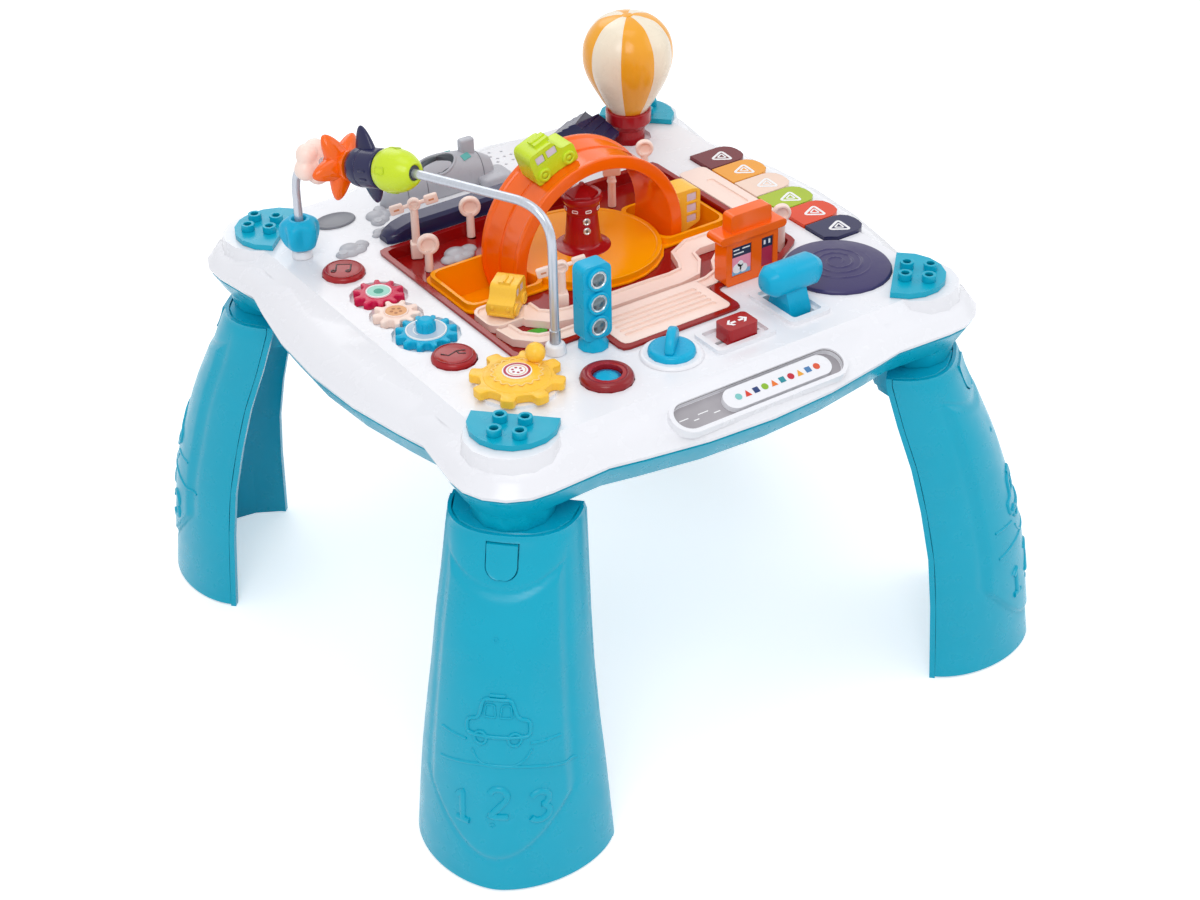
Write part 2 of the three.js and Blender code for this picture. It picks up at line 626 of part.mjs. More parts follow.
const outline = deckOutline();
const levels = (steps) => skin(steps.map((step) => ring(inset(outline, step.inset), step.z)));
const dropped = (steps) => steps.map((step) => ({ ...step, z: deck.top - step.drop }));
const diagonals = [225, 135, -45, 45];

function atCorners(geometry, reach) {
  return diagonals.map((turn) => place(geometry.clone().translate(reach, 0, 0), 0, 0, 0, turn));
}

function flatOf(grow) {
  const [x, y] = [deck.flatX + grow, deck.flatY + grow];
  return roundedRect(-x, x, -y, y, deck.flatRound + grow);
}

function plateau() {
  const loop = (grow, z) => ring(flatOf(grow).getPoints(deck.flatSegments), z);
  return skin([loop(deck.flatFoot, deck.flatFootZ), loop(0, deck.top)]);
}

// The three small gears and where their centres are.
function gearCentres() {
  const along = (from, teeth, away) => {
    const reach = (gearModule * (from.teeth + teeth)) / 2 + gearSlack;
    const angle = radians(away);
    return { x: from.x + reach * Math.cos(angle), y: from.y + reach * Math.sin(angle) };
  };
  const pink = { ...gearPink, ...along(gearCream, gearPink.teeth, gearPink.awayAngle) };
  const blue = { ...gearBlue, ...along(gearCream, gearBlue.teeth, gearBlue.awayAngle) };
  return { cream: gearCream, pink, blue };
}

const gearRadius = (teeth) => (gearModule * teeth) / 2;
const gearTip = (teeth) => gearRadius(teeth) + gearModule * gearForm.addShare;
const gearRoot = (teeth) => gearRadius(teeth) - gearModule * gearForm.dedendShare;

function gearWells(grow, low, high) {
  const gears = Object.values(gearCentres());
  const radius = (gear) => gearTip(gear.teeth) + gearWell.extra + grow;
  return gears.map((g) => place(cylinder(radius(g), low, high, gearWell.segments), g.x, g.y));
}

// Raised or sunk round or boxed frames on the deck.
function tube(radius, bore, low, high, segments) {
  return cut(cylinder(radius, low, high, segments), cylinder(bore, low - bite, high + bite, segments));
}

function frameBlock(frame) {
  const line = roundedRect(frame.left, frame.right, frame.front, frame.back, frame.rimWide);
  return prism(line, deck.top - bite, deck.top + frame.rimHigh);
}

function frameHollow(frame) {
  const wide = frame.rimWide;
  const [left, right] = [frame.left + wide, frame.right - wide];
  const shape = roundedRect(left, right, frame.front + wide, frame.back - wide, wide / 2);
  return prism(shape, deck.top, deck.top + frame.rimHigh + bite);
}

function tilted(geometry) {
  return geometry.rotateX(radians(nameSlot.tiltAngle)).translate(nameSlot.x, nameSlot.y, nameSlot.z);
}

function townOutline(grow) {
  const t = town;
  const line = plan([
    [t.left, t.front], [notch.left, t.front], [notch.left, notch.front], [notch.right, notch.front],
    [notch.right, t.front], [t.cutX, t.front], [t.farRight, t.cutY], [t.farRight, t.stepY], [t.right, t.stepY],
    [t.right, t.back], [t.left, t.back],
  ]);
  return softShape(inset(line, -grow), t.round);
}

function keyOutline(index, grow) {
  const middle = keys.first - index * keys.pitch;
  const half = keys.width / 2 + grow;
  const round = keys.width * keys.roundShare;
  const out = keys.outer + grow;
  return [
    [keys.inner - grow, middle - half],
    ...arcPoints(out - round, middle - half + round, round, -90, 0, keys.segments),
    ...arcPoints(out - round, middle + half - round, round, 0, 90, keys.segments),
    [keys.inner - grow, middle + half],
  ];
}

function keySolid(index, grow, low, high) {
  const body = prism(keyOutline(index, grow), low, high);
  if (index < keyNames.length - 1) return body;
  const round = cylinder(drum.radius + drum.keyMargin - grow, low - bite, high + bite, drum.segments);
  const bay = place(round, drum.x, drum.y);
  return cut(body, bay);
}

function buttonHole(radius, x, y) {
  const hole = cylinder(radius + fit, deck.cavityTop - bite, deck.top + bite, button.segments);
  const room = cylinder(radius + button.flange + fit, deck.cavityLow, deck.cavityTop, button.segments);
  return place(join(hole, room), x, y);
}

function speakerHoles() {
  const s = speaker;
  const hole = cylinder(s.hole, deck.flatFootZ, deck.top + bite, s.holeSides);
  const spots = [[0, 0], ...circlePoints(s.ringA, s.holesA), ...circlePoints(s.ringB, s.holesB)];
  return spots.map(([x, y]) => place(hole, s.x + x, s.y + y));
}

function cloudBump(base) {
  const puffs = [-1, 0, 1].map((k) => {
    const r = cloud.puff * (k === 0 ? 1 : cloud.sideShare);
    const top = base + cloud.high;
    const [low, crown] = [base - bite, r * cloud.crownShare];
    const puff = turned([[0, low], [r, low], [crown, top], [0, top]], cloud.segments);
    return puff.scale(1, cloud.flatShare, 1).translate(k * cloud.spread, 0, 0);
  });
  return join(...puffs);
}

function topDeck() {
  const c = corner;
  const under = deck.cavityTop - gearWell.floorThick;
  const padLine = [[0, deck.padFootZ], [c.padFoot, deck.padFootZ], [c.padTop, deck.top], [0, deck.top]];
  const pad = turned(padLine, c.segments);
  const hollow = ring(flatOf(-deck.wall - bite).getPoints(deck.cavitySegments), deck.cavityLow);
  const hollows = [
    levels(dropped(cavitySteps)),
    skin([hollow, hollow.map((p) => p.clone().setZ(deck.cavityTop))]),
    ...atCorners(cylinder(c.padHollow, deck.cavityLow, deck.cavityTop, c.segments), c.padReach),
  ];
  const shell = cut(join(levels(dropped(rimSteps)), plateau(), ...atCorners(pad, c.padReach)), ...hollows);
  const boss = (x, y, radius, low, high) => place(cylinder(radius, low, high, button.segments), x, y);
  const added = join(
    shell,
    ...gearWells(deck.wall, under, deck.cavityTop + bite),
    boss(wireNear.x, wireNear.y, wire.boss, wireZ.foot - deck.wall, deck.cavityTop + bite),
    boss(wireFar.x, wireFar.y, wire.boss, wireZ.foot - deck.wall, deck.cavityTop + bite),
    boss(wireNear.x, wireNear.y - wire.collarBack, wire.collar, deck.top - bite, deck.top + wire.collarHigh),
    boss(wireFar.x, wireFar.y, wire.socket, deck.top - bite, wireZ.socketTop),
    boss(pot.x, pot.y, pot.recess + deck.wall, under, deck.cavityTop + bite),
    boss(crank.x, crank.y, crank.seat, deck.top - bite, deck.top + crank.seatHigh),
    boss(rotary.x, rotary.y, rotary.collar, deck.top - bite, rotary.collarTop),
    frameBlock(cube),
    frameBlock(lever),
    slotPad(),
    ...clouds.map((spot) => place(cloudBump(deck.top - cloud.sink), spot.x, spot.y, 0, spot.turnAngle)),
    place(craterRim(), dish.x, dish.y),
  );
  const opened = cut(
    added,
    ...gearWells(0, gearFloor, deck.top + bite),
    prism(townOutline(gap), deck.flatFootZ - bite, deck.top + bite),
    ...keyNames.map((_, k) => keySolid(k, keys.clear, deck.cavityLow, keys.top)),
    buttonHole(button.radius, musicLeft.x, musicLeft.y),
    buttonHole(button.radius, musicRight.x, musicRight.y),
    buttonHole(target.radius, target.x, target.y),
    place(cylinder(drum.radius + fit, under, deck.top + bite, drum.segments), drum.x, drum.y),
    boss(wireNear.x, wireNear.y, wire.radius + gap, wireZ.foot, wireZ.socketTop + bite),
    boss(wireFar.x, wireFar.y, wire.radius + gap, wireZ.foot, wireZ.socketTop + bite),
    boss(pot.x, pot.y, pot.recess, pot.floor, deck.top + bite),
    boss(rotary.x, rotary.y, rotary.disc + fit, deck.top, rotary.collarTop + bite),
    frameHollow(cube),
    frameHollow(lever),
    ...slotCuts(under),
    ...speakerHoles(),
  );
  const pinTop = gearFloor + gearForm.thick - deck.wall / 2;
  return join(
    opened,
    ...Object.values(gearCentres()).map((g) => boss(g.x, g.y, gearWell.hub, under + bite, pinTop)),
    boss(crank.x, crank.y, crank.pin, deck.top, deck.top + crank.seatHigh + crank.thick - crank.pinShort),
    boss(rotary.x, rotary.y, rotary.pin, deck.top - bite, rotary.discTop - rotary.pinShort),
  );
}

function slotPad() {
  const n = nameSlot;
  const line = pill(n.length + 2 * n.pad, n.width + 2 * n.pad);
  return tilted(prism(line, -n.deep - n.floorThick, n.rim, n.segments));
}

function craterRim() {
  const rim = tube(dish.long, dish.long - dish.edge, deck.top - bite, deck.top + dish.high, dish.segments);
  return rim.scale(1, dish.wide / dish.long, 1);
}

function slotCuts(under) {
  const [c, l, n] = [cube, lever, nameSlot];
  const high = deck.top + bite;
  return [
    block(c.slotLeft, c.slotRight, c.y - c.slotHalf, c.y + c.slotHalf, under, high),
    block(l.x - l.stemHalf - fit, l.x + l.stemHalf + fit, l.slotFront, l.slotBack, under, high),
    tilted(prism(pill(n.length, n.width), -n.deep, n.rim + bite, n.segments)),
  ];
}

// Blue tray under the deck with four round plugs for the legs.
function lowerHousing() {
  const outer = [
    { inset: tray.foot, z: tray.base }, { inset: tray.taper, z: tray.base + tray.footRise },
    { inset: tray.shoulder, z: tray.shoulderZ }, { inset: tray.waist, z: tray.top },
  ];
  const inner = [
    { inset: tray.foot + tray.wall, z: tray.floor }, { inset: tray.shoulder + tray.wall, z: tray.shoulderZ },
    { inset: tray.waist + tray.wall, z: tray.top + bite },
  ];
  const flare = turned([
    [0, collar.flareZ], [collar.flareFoot, collar.flareZ], [collar.flare, tray.base + bite],
    [0, tray.base + bite],
  ], collar.segments);
  const plug = plugSolid(collar.plug, collar.flat, collar.end, collar.flareZ + bite);
  const bore = plugSolid(collar.bore, collar.flat - tray.wall, collar.end - bite, collar.roof);
  const posts = [[-1, -1], [1, -1], [1, 1], [-1, 1]].map(([sx, sy]) => place(
    cylinder(boardPost.radius, tray.floor - bite, tray.floor + boardPost.high, boardPost.segments),
    board.x + sx * boardPost.insetX,
    board.y + sy * boardPost.insetY,
  ));
  const hatch = block(
    door.x - door.length / 2, door.x + door.length / 2, door.y - door.width / 2, door.y + door.width / 2,
    tray.base - bite, tray.base + door.thick,
  );
  const reach = Math.hypot(corner.x, corner.y);
  const shell = cut(levels(outer), levels(inner));
  const body = join(shell, ...atCorners(join(flare, plug), reach), ...posts);
  return cut(body, ...atCorners(bore, reach), hatch);
}

// Round plug, flattened on the side that faces out.
function plugSolid(radius, flat, low, high) {
  const round = cylinder(radius, low, high, collar.segments);
  return cut(round, block(flat, 2 * radius, -2 * radius, 2 * radius, low - bite, high + bite));
}

// Leg section at one height: a bowed front on a straight open back.
function legLoop(level, grow, cutBack) {
  const count = 2 * leg.segments;
  const power = 2 / level.bowShare;
  const start = level.inner + leg.lipThick;
  const half = level.half - leg.lip + grow;
  const deep = level.outer - start + grow;
  const loop = [];
  for (let k = 0; k <= count; k += 1) {
    const angle = (Math.PI * k) / count;
    const c = Math.cos(angle);
    const side = half * Math.sign(c) * Math.abs(c) ** power;
    loop.push(new THREE.Vector3(start + deep * Math.sin(angle) ** power, side, level.z));
  }
  const back = level.inner - cutBack;
  return [new THREE.Vector3(back, half, level.z), ...loop, new THREE.Vector3(back, -half, level.z)];
}

const legSkin = (grow, cutBack = 0) => skin(legProfile.map((level) => legLoop(level, grow, cutBack)));

// Edge beads that stiffen the two long open edges of a leg.
function legEdges() {
  const side = (sign) => skin(legProfile.map(({ z, inner, half }) => {
    const edge = sign * half;
    const root = sign * (half - leg.lip - leg.wall);
    return [
      new THREE.Vector3(inner, root, z), new THREE.Vector3(inner, edge, z),
      new THREE.Vector3(inner + leg.lipThick, edge, z), new THREE.Vector3(inner + leg.lipThick, root, z),
    ];
  }));
  return [side(1), side(-1)];
}

function latchWindow(grow, reachLow, reachHigh) {
  const l = latch;
  const shape = roundedRect(-l.half - grow, l.half + grow, l.low - grow, l.high + grow, l.round);
  const tool = new THREE.ExtrudeGeometry(shape, {
    depth: reachHigh - reachLow, bevelEnabled: false, curveSegments: softSegments,
  });
  return tool.rotateX(quarter).rotateZ(quarter).translate(reachLow, 0, 0);
}

function legAndLatch() {
  const last = legProfile[legProfile.length - 1];
  const inside = skin(legProfile.map((level) => legLoop(level, -leg.wall, leg.wall)).map((loop, k) => {
    if (k === 0) return loop.map((p) => p.clone().setZ(-bite));
    if (k === legProfile.length - 1) return loop.map((p) => p.clone().setZ(last.z - leg.capThick));
    return loop;
  }));
  const reach = Math.hypot(corner.x, corner.y);
  const [socketRadius, socketFlat] = [collar.plug + fit, collar.flat + fit];
  const socketOut = plugSolid(socketRadius + leg.socketWall, socketFlat + leg.socketWall, leg.socketEnd, last.z);
  const socketIn = plugSolid(socketRadius, socketFlat, leg.socketEnd - bite, last.z + bite);
  const shellOuter = join(legSkin(0), ...legEdges());
  const channel = join(cut(shellOuter, inside), socketOut.translate(reach, 0, 0));
  const beyond = legProfile[0].outer;
  const body = cut(channel, socketIn.translate(reach, 0, 0), latchWindow(0, last.outer - 2 * leg.wall, beyond));
  const slab = (out, back, grow) => {
    const face = common(legSkin(out), latchWindow(grow, reach, beyond));
    return cut(face, legSkin(-back, bite));
  };
  const behind = leg.wall + gap;
  const face = slab(latch.proud, behind + latch.back, -gap);
  const flange = slab(-behind, behind + latch.back, latch.flange);
  return { body, latch: join(face, flange) };
}

// Building studs on a half-round corner plate.
function studPlate() {
  const p = plate;
  const top = p.base + p.thick;
  const turnTo = THREE.MathUtils.radToDeg(Math.acos((p.straight - p.centreArc) / p.outerRound));
  const arc = arcPoints(p.centreArc, 0, p.outerRound, -turnTo, turnTo, p.segments);
  const body = prism([[p.chord, -p.half], ...arc, [p.chord, p.half]], p.base, top);
  const from = p.centre - p.pitch / 2;
  const spots = boxLine(from, from + p.pitch, -p.pitch / 2, p.pitch / 2);
  const atStuds = (geometry) => spots.map(([x, y]) => place(geometry, x, y));
  const studs = atStuds(cylinder(p.stud, top - bite, top + p.studHigh, p.studSegments));
  const holes = atStuds(cylinder(p.studHole, top, top + p.studHigh + bite, p.studSegments));
  return cut(join(body, ...studs), ...holes);
}

// Wire arch: two upright posts and a sloping top with a soft kink.
function wirePath() {
  const start = new THREE.Vector2(wireNear.x, wireNear.y);
  const span = new THREE.Vector2(wireFar.x, wireFar.y).sub(start);
  const at = (along, z) => {
    const p = start.clone().addScaledVector(span, along / wireSpan);
    return new THREE.Vector3(p.x, p.y, z);
  };
  const slope = (fromZ, toZ, from, to, s) => fromZ + ((toZ - fromZ) * (s - from)) / (to - from);
  const { along, soft } = wireMiddle;
  const [nearZ, middleZ, farZ] = [wireNear, wireMiddle, wireFar].map((spot) => deck.top + spot.high);
  const farFrom = wireSpan - wireFar.run;
  const heelZ = farZ + wireFar.heel;
  const low = wireZ.foot + gap;
  const before = at(along - soft, slope(nearZ, middleZ, wireNear.run, along, along - soft));
  const after = at(along + soft, slope(middleZ, heelZ, along, farFrom, along + soft));
  const nearTop = at(wireNear.run, nearZ);
  const [nearBend, farBend] = [at(0, nearZ - wireNear.run), at(wireSpan, farZ - wireFar.run)];
  const path = new THREE.CurvePath();
  path.add(new THREE.LineCurve3(at(0, low), nearBend));
  path.add(new THREE.QuadraticBezierCurve3(nearBend, at(0, nearZ), nearTop));
  path.add(new THREE.LineCurve3(nearTop, before));
  path.add(new THREE.QuadraticBezierCurve3(before, at(along, middleZ), after));
  path.add(new THREE.LineCurve3(after, at(farFrom, heelZ)));
  path.add(new THREE.QuadraticBezierCurve3(at(farFrom, heelZ), at(wireSpan, farZ), farBend));
  path.add(new THREE.LineCurve3(farBend, at(wireSpan, low)));
  return path;
}

function wireArch() {
  const shape = new THREE.Shape(plan(circlePoints(wire.radius, wire.sides)));
  const options = { steps: wire.steps, extrudePath: wirePath(), bevelEnabled: false };
  return outward(new THREE.ExtrudeGeometry(shape, options));
}

// Sets a bead that is modelled along Z onto the wire, its top towards the near post.
function onWire(geometry, along) {
  const path = wirePath();
  const start = new THREE.Vector2(wireNear.x, wireNear.y);
  let low = 0;
  let high = 1;
  for (let k = 0; k < wire.steps; k += 1) {
    const middle = (low + high) / 2;
    const p = path.getPointAt(middle);
    if (start.distanceTo(new THREE.Vector2(p.x, p.y)) < along) low = middle;
    else high = middle;
  }
  const towards = path.getTangentAt(low).negate();
  const turn = new THREE.Quaternion().setFromUnitVectors(new THREE.Vector3(0, 0, 1), towards);
  const spot = path.getPointAt(low);
  return geometry.clone().applyQuaternion(turn).translate(spot.x, spot.y, spot.z);
}

function bored(geometry, low, high, room = beadFit) {
  return cut(geometry, cylinder(wire.radius + room, low - bite, high + bite, wire.sides));
}

function lobedLoop(radius, z, lobes, share, count) {
  return Array.from({ length: count }, (_, k) => {
    const angle = (2 * Math.PI * k) / count;
    const r = radius * (1 + share * Math.cos(lobes * angle));
    return new THREE.Vector3(r * Math.cos(angle), r * Math.sin(angle), z);
  });
}

function blueBeadShape() {
  const b = blueBead;
  const [lowZ, middleZ, highZ] = b.rowShares.map((share) => share * b.high);
  const rows = [[b.end, 0], [b.lower, lowZ], [b.upper, middleZ], [b.lower, highZ], [b.end, b.high]];
  const body = skin(rows.map(([r, z]) => lobedLoop(r, z, b.lobes, b.lobeShare, b.segments)));
  return bored(body, 0, b.high).translate(wireFar.x, wireFar.y, wireZ.socketTop + b.seat);
}

function cloudBeadShape() {
  const c = cloudBead;
  const half = c.length / 2;
  const puffs = Array.from({ length: c.puffs }, (_, k) => {
    const angle = (2 * Math.PI * k) / c.puffs;
    const puff = new THREE.SphereGeometry(c.puff, c.segments, c.segments / 2);
    return puff.translate(c.ring * Math.cos(angle), c.ring * Math.sin(angle), (k % 2 === 0 ? 1 : -1) * bite);
  });
  const body = join(cylinder(c.core, -half, half, c.segments), ...puffs);
  return onWire(bored(body, -c.length, c.length, c.room), c.along);
}

function spike(angle, f) {
  const loop = (reach, half, z, deep) => {
    const corners = boxLine(-half, half, z - deep / 2, z + deep / 2);
    return corners.map(([y, h]) => new THREE.Vector3(reach, y, h));
  };
  const spikeSkin = skin([
    loop(0, f.rootHalf, 0, f.rootDeep),
    loop(
      f.reach * f.middleShare, f.rootHalf * f.middleWideShare, -f.lean * f.middleLeanShare,
      f.rootDeep * f.middleDeepShare,
    ),
    loop(f.reach, f.endHalf, -f.lean, f.endHalf * 2),
  ]);
  return spikeSkin.rotateZ(angle);
}

function flameBeadShape() {
  const f = flameBead;
  const half = f.length / 2;
  const core = turned([[0, -half], [f.core, -half], [f.nozzle, half], [0, half]], cloudBead.segments);
  const spikes = Array.from({ length: f.spikes }, (_, k) => spike((2 * Math.PI * k) / f.spikes, f));
  return onWire(bored(join(core, ...spikes), -half, half), f.along);
}

function bodyBeadShape() {
  const b = bodyBead;
  const half = b.length / 2;
  const core = turned([
    [0, -half], [b.end, -half], [b.radius, -half + b.slope], [b.radius, half - bite], [b.radius - bite, half],
    [0, half],
  ], noseBead.segments);
  const fins = Array.from({ length: b.fins }, (_, k) => {
    const line = plan([
      [b.radius - 2 * bite, -half + bite], [b.finReach * b.finBackShare, -half - bite], [b.finReach, -half + bite],
      [b.finReach * b.finEdgeShare, -half + b.finEdge], [b.radius - 2 * bite, -half + b.finRoot],
    ]);
    const fin = upright(softShape(line, b.finEdge / 2), -b.finHalf, 2 * b.finHalf);
    return fin.rotateZ(radians(b.finAngle + (360 * k) / b.fins));
  });
  return onWire(bored(join(core, ...fins), -half, half), b.along);
}

function noseBeadShape() {
  const n = noseBead;
  const half = n.length / 2;
  const rows = n.profileShares.map(([wide, rise]) => [n.radius * wide, n.length * rise - half]);
  const body = turned([[0, -half], ...rows, [0, half]], n.segments);
  return onWire(bored(body, -half, half), n.along);
}

// Domed cap that drops through a hole in the deck, with a flange below it.
function cap(size) {
  const top = deck.top + size.dome;
  const edge = deck.top + size.edge;
  const low = deck.cavityTop - gap - size.flangeThick;
  const flangeTop = low + size.flangeThick;
  const inner = size.radius - size.wall;
  return turned([
    [0, top - size.wall], [size.crown - size.wall, top - size.wall - bite / 2], [inner, edge - size.wall / 2],
    [inner, low], [size.radius + size.flange, low], [size.radius + size.flange, flangeTop], [size.radius, flangeTop],
    [size.radius, edge], [size.radius - bite, edge + bite], [size.crown, top - bite / 2], [0, top],
  ], size.segments);
}

// Gear blank with trapezoid teeth, one tooth on the +X axis.
function gearOutline(teeth) {
  const tip = gearTip(teeth);
  const root = gearRoot(teeth);
  const step = 360 / teeth;
  const line = [];
  for (let k = 0; k < teeth; k += 1) {
    const polar = (reach, share) => [
      reach * Math.cos(radians(step * (k + share))),
      reach * Math.sin(radians(step * (k + share))),
    ];
    line.push(polar(root, -gearForm.rootShare / 2), polar(tip, -gearForm.crestShare / 2));
    line.push(polar(tip, gearForm.crestShare / 2), polar(root, gearForm.rootShare / 2));
  }
  return line;
}

function smallGear(gear, phase) {
  const low = gearFloor + gap;
  const top = low + gearForm.thick;
  const knobTop = top + gear.knobHigh;
  const blank = prism(gearOutline(gear.teeth), low, top);
  const disc = cylinder(gear.disc, top - bite, top + gearForm.discHigh, gearWell.segments);
  const knob = gear.knob
    ? [turned([
      [0, top], [gear.knobFoot, top], [gear.knob, top + gear.knobHigh * gearForm.knobTopShare],
      [gear.knob * gearForm.knobTopShare, knobTop], [0, knobTop],
    ], gearWell.hubSides)]
    : [];
  const bore = cylinder(gearWell.hub + fit, low - bite, gearFloor + gearForm.thick, gearWell.hubSides);
  return place(cut(join(blank, disc, ...knob), bore), gear.x, gear.y, 0, phase);
}

// Tooth angles that mesh with the cream gear, whose first tooth points at the pink one.
function gearPhases() {
  const cream = gearPink.awayAngle;
  const pink = gearPink.awayAngle + 180 + 180 / gearPink.teeth;
  const creamStep = 360 / gearCream.teeth;
  const miss = gearBlue.awayAngle - cream;
  const nearest = cream + Math.round(miss / creamStep) * creamStep;
  const off = ((nearest - gearBlue.awayAngle) * gearCream.teeth) / gearBlue.teeth;
  return { cream, pink, blue: gearBlue.awayAngle + 180 - off + 180 / gearBlue.teeth };
}

function crankGear() {
  const c = crank;
  const low = deck.top + c.seatHigh + gap;
  const top = low + c.thick;
  const shoulder = c.radius - c.toothRound;
  const tooth = prism([
    [0, -c.toothHalf], [shoulder, -c.toothHalf],
    ...arcPoints(shoulder, 0, c.toothRound, -c.toothAngle, c.toothAngle, softSegments),
    [shoulder, c.toothHalf], [0, c.toothHalf],
  ], low, top);
  const teeth = Array.from({ length: c.teeth }, (_, k) => place(tooth, 0, 0, 0, (360 * k) / c.teeth));
  const disc = turned([
    [0, low], [c.rim, low], [c.rim, top - c.edge], [c.rim - c.edge, top], [c.dome, top], [c.crown, top + c.domeHigh],
    [0, top + c.domeHigh],
  ], rotary.segments);
  const ball = new THREE.SphereGeometry(c.knob, c.teeth, c.teeth / 2);
  const knob = ball.translate(c.knobX, c.knobY, top + c.knobRise);
  const stem = place(cylinder(c.stem, top - bite, top + c.knobRise, c.teeth), c.knobX, c.knobY);
  const bore = cylinder(c.pin + fit, low - bite, top, c.teeth);
  return place(cut(join(disc, ...teeth, stem, knob), bore), c.x, c.y);
}

// Dark red town tray: a dish with a lip over the deck edge and openings for arena and posts.
function townTray() {
  const shell = join(
    prism(townOutline(0), town.under, town.lipTop),
    prism(townOutline(town.lip), deck.top + gap, town.lipTop),
  );
  const hole = cylinder(signFrame.hole, town.under - bite, town.lipTop, signFrame.segments);
  const posts = signs.map((s) => place(hole, s.x, s.y));
  const arenaHole = arenaOutline(fit, town.under - bite, town.lipTop);
  const crossing = block(
    bridge.wall - town.wall, bridge.right, bridge.front - gap, bridge.back + gap, bridge.deckLow - gap,
    town.lipTop + bite,
  );
  return cut(shell, prism(townOutline(-town.wall), town.floor, town.lipTop + bite), ...arenaHole, ...posts, crossing);
}

function arenaOutline(grow, low, high) {
  const a = arena;
  const box = roundedRect(a.left - grow, a.right + grow, a.front - grow, a.back + grow, a.round);
  return [prism(box, low, high), place(cylinder(a.ring + grow, low, high, turntable.segments), a.x, a.y)];
}

// Amber arena: two sunk pockets for the arch and a round bed for the turntable.
function arenaShape() {
  const a = arena;
  const inLeft = a.x - arch.inner + a.archClear;
  const inRight = a.x + arch.inner - a.archClear;
  const bed = (low, high) => place(cylinder(a.ring - a.ringWall, low, high, turntable.segments), a.x, a.y);
  const shelf = place(cylinder(a.ring, a.deckUnder, a.top + 2 * bite, turntable.segments), a.x, a.y);
  const pocket = (left, right, grow, low, high) => {
    const line = roundedRect(left - grow, right + grow, a.front - grow, a.back + grow, a.round);
    return prism(line, low, high);
  };
  const solid = join(
    pocket(a.left, inLeft + a.wall, 0, a.under, a.top),
    pocket(inRight - a.wall, a.right, 0, a.under, a.top),
    ...arenaOutline(0, a.deckUnder, a.top).slice(1),
    ...arenaOutline(a.rim + fit, a.ledge, a.ledge + a.rimThick),
    block(inLeft, inRight, a.front, a.back, a.deckUnder, a.deckFloor),
  );
  const hollows = [
    cut(pocket(a.left, inLeft + a.wall, -a.wall, a.floor, a.top + bite), shelf),
    cut(pocket(inRight - a.wall, a.right, -a.wall, a.floor, a.top + bite), shelf),
    bed(a.deckFloor, a.top + bite),
    place(cylinder(a.pin + fit, a.deckUnder - bite, a.deckFloor + bite, gearWell.hubSides), a.x, a.y),
  ];
  return cut(solid, ...hollows);
}

function turntableShape() {
  const t = turntable;
  const low = arena.deckFloor + gap;
  const bed = t.top - t.rimDrop;
  return place(turned([
    [0, low - t.pinDrop], [arena.pin, low - t.pinDrop], [arena.pin, low], [t.radius, low],
    [t.radius, t.top - t.rimDrop],
    [t.radius - t.rimDrop, t.top], [t.radius - t.rimWide, t.top], [t.radius - t.rimWide - t.rimDrop, bed], [0, bed],
  ], t.segments), arena.x, arena.y);
}

function towerShape() {
  const t = tower;
  const footTop = towerLow + t.footHigh;
  const body = turned([
    [0, towerLow], [t.foot, towerLow], [t.foot, towerLow + bite], [t.foot * t.footShare, footTop],
    [t.shaft + bite, footTop + bite], [t.shaft, t.shaftZ], [t.neck, t.neckZ], [t.gallery, t.neckZ + t.galleryHigh],
    [t.gallery, t.neckZ + 2 * t.galleryHigh], [t.lantern, t.lanternZ], [t.lantern * t.roofShare, t.roofZ - bite],
    [0, t.roofZ],
  ], t.segments);
  const door = block(-t.door, t.door, -t.foot, -t.shaft + t.doorDeep, footTop + bite, footTop + t.doorHigh);
  const windows = [t.windowLow, t.windowHigh].map((z) => {
    const hole = new THREE.CylinderGeometry(t.window, t.window, t.shaft, t.windowSides);
    return hole.translate(0, -t.shaft * t.windowShare, z);
  });
  return place(cut(body, ...windows, door), arena.x, arena.y, 0, t.turnAngle);
}

// Orange arch: a bowed channel with raised rims and a centre groove, cut level at its feet.
function archRing() {
  const a = arch;
  const middle = (a.front + a.back) / 2;
  const section = [
    [a.front, a.inner], [a.back, a.inner], [a.back, a.outer], [a.back - a.rimWide, a.outer],
    [a.back - a.rimWide - a.rimSlope, a.channel], [middle + a.grooveHalf, a.channel], [middle + a.grooveHalf, a.groove],
    [middle - a.grooveHalf, a.groove], [middle - a.grooveHalf, a.channel], [a.front + a.rimWide + a.rimSlope, a.channel],
    [a.front + a.rimWide, a.outer], [a.front, a.outer],
  ];
  const loops = Array.from({ length: a.steps + 1 }, (_, k) => {
    const angle = radians(-a.footAngle + ((180 + 2 * a.footAngle) * k) / a.steps);
    return section.map(([y, r]) => new THREE.Vector3(r * Math.cos(angle), y, r * Math.sin(angle)));
  });
  const ring360 = skin(loops).translate(arena.x, 0, a.z);
  const lowest = arena.under - arena.wall;
  return cut(ring360, block(arena.left, arena.right, a.front - bite, a.back + bite, lowest, arena.floor + gap));
}

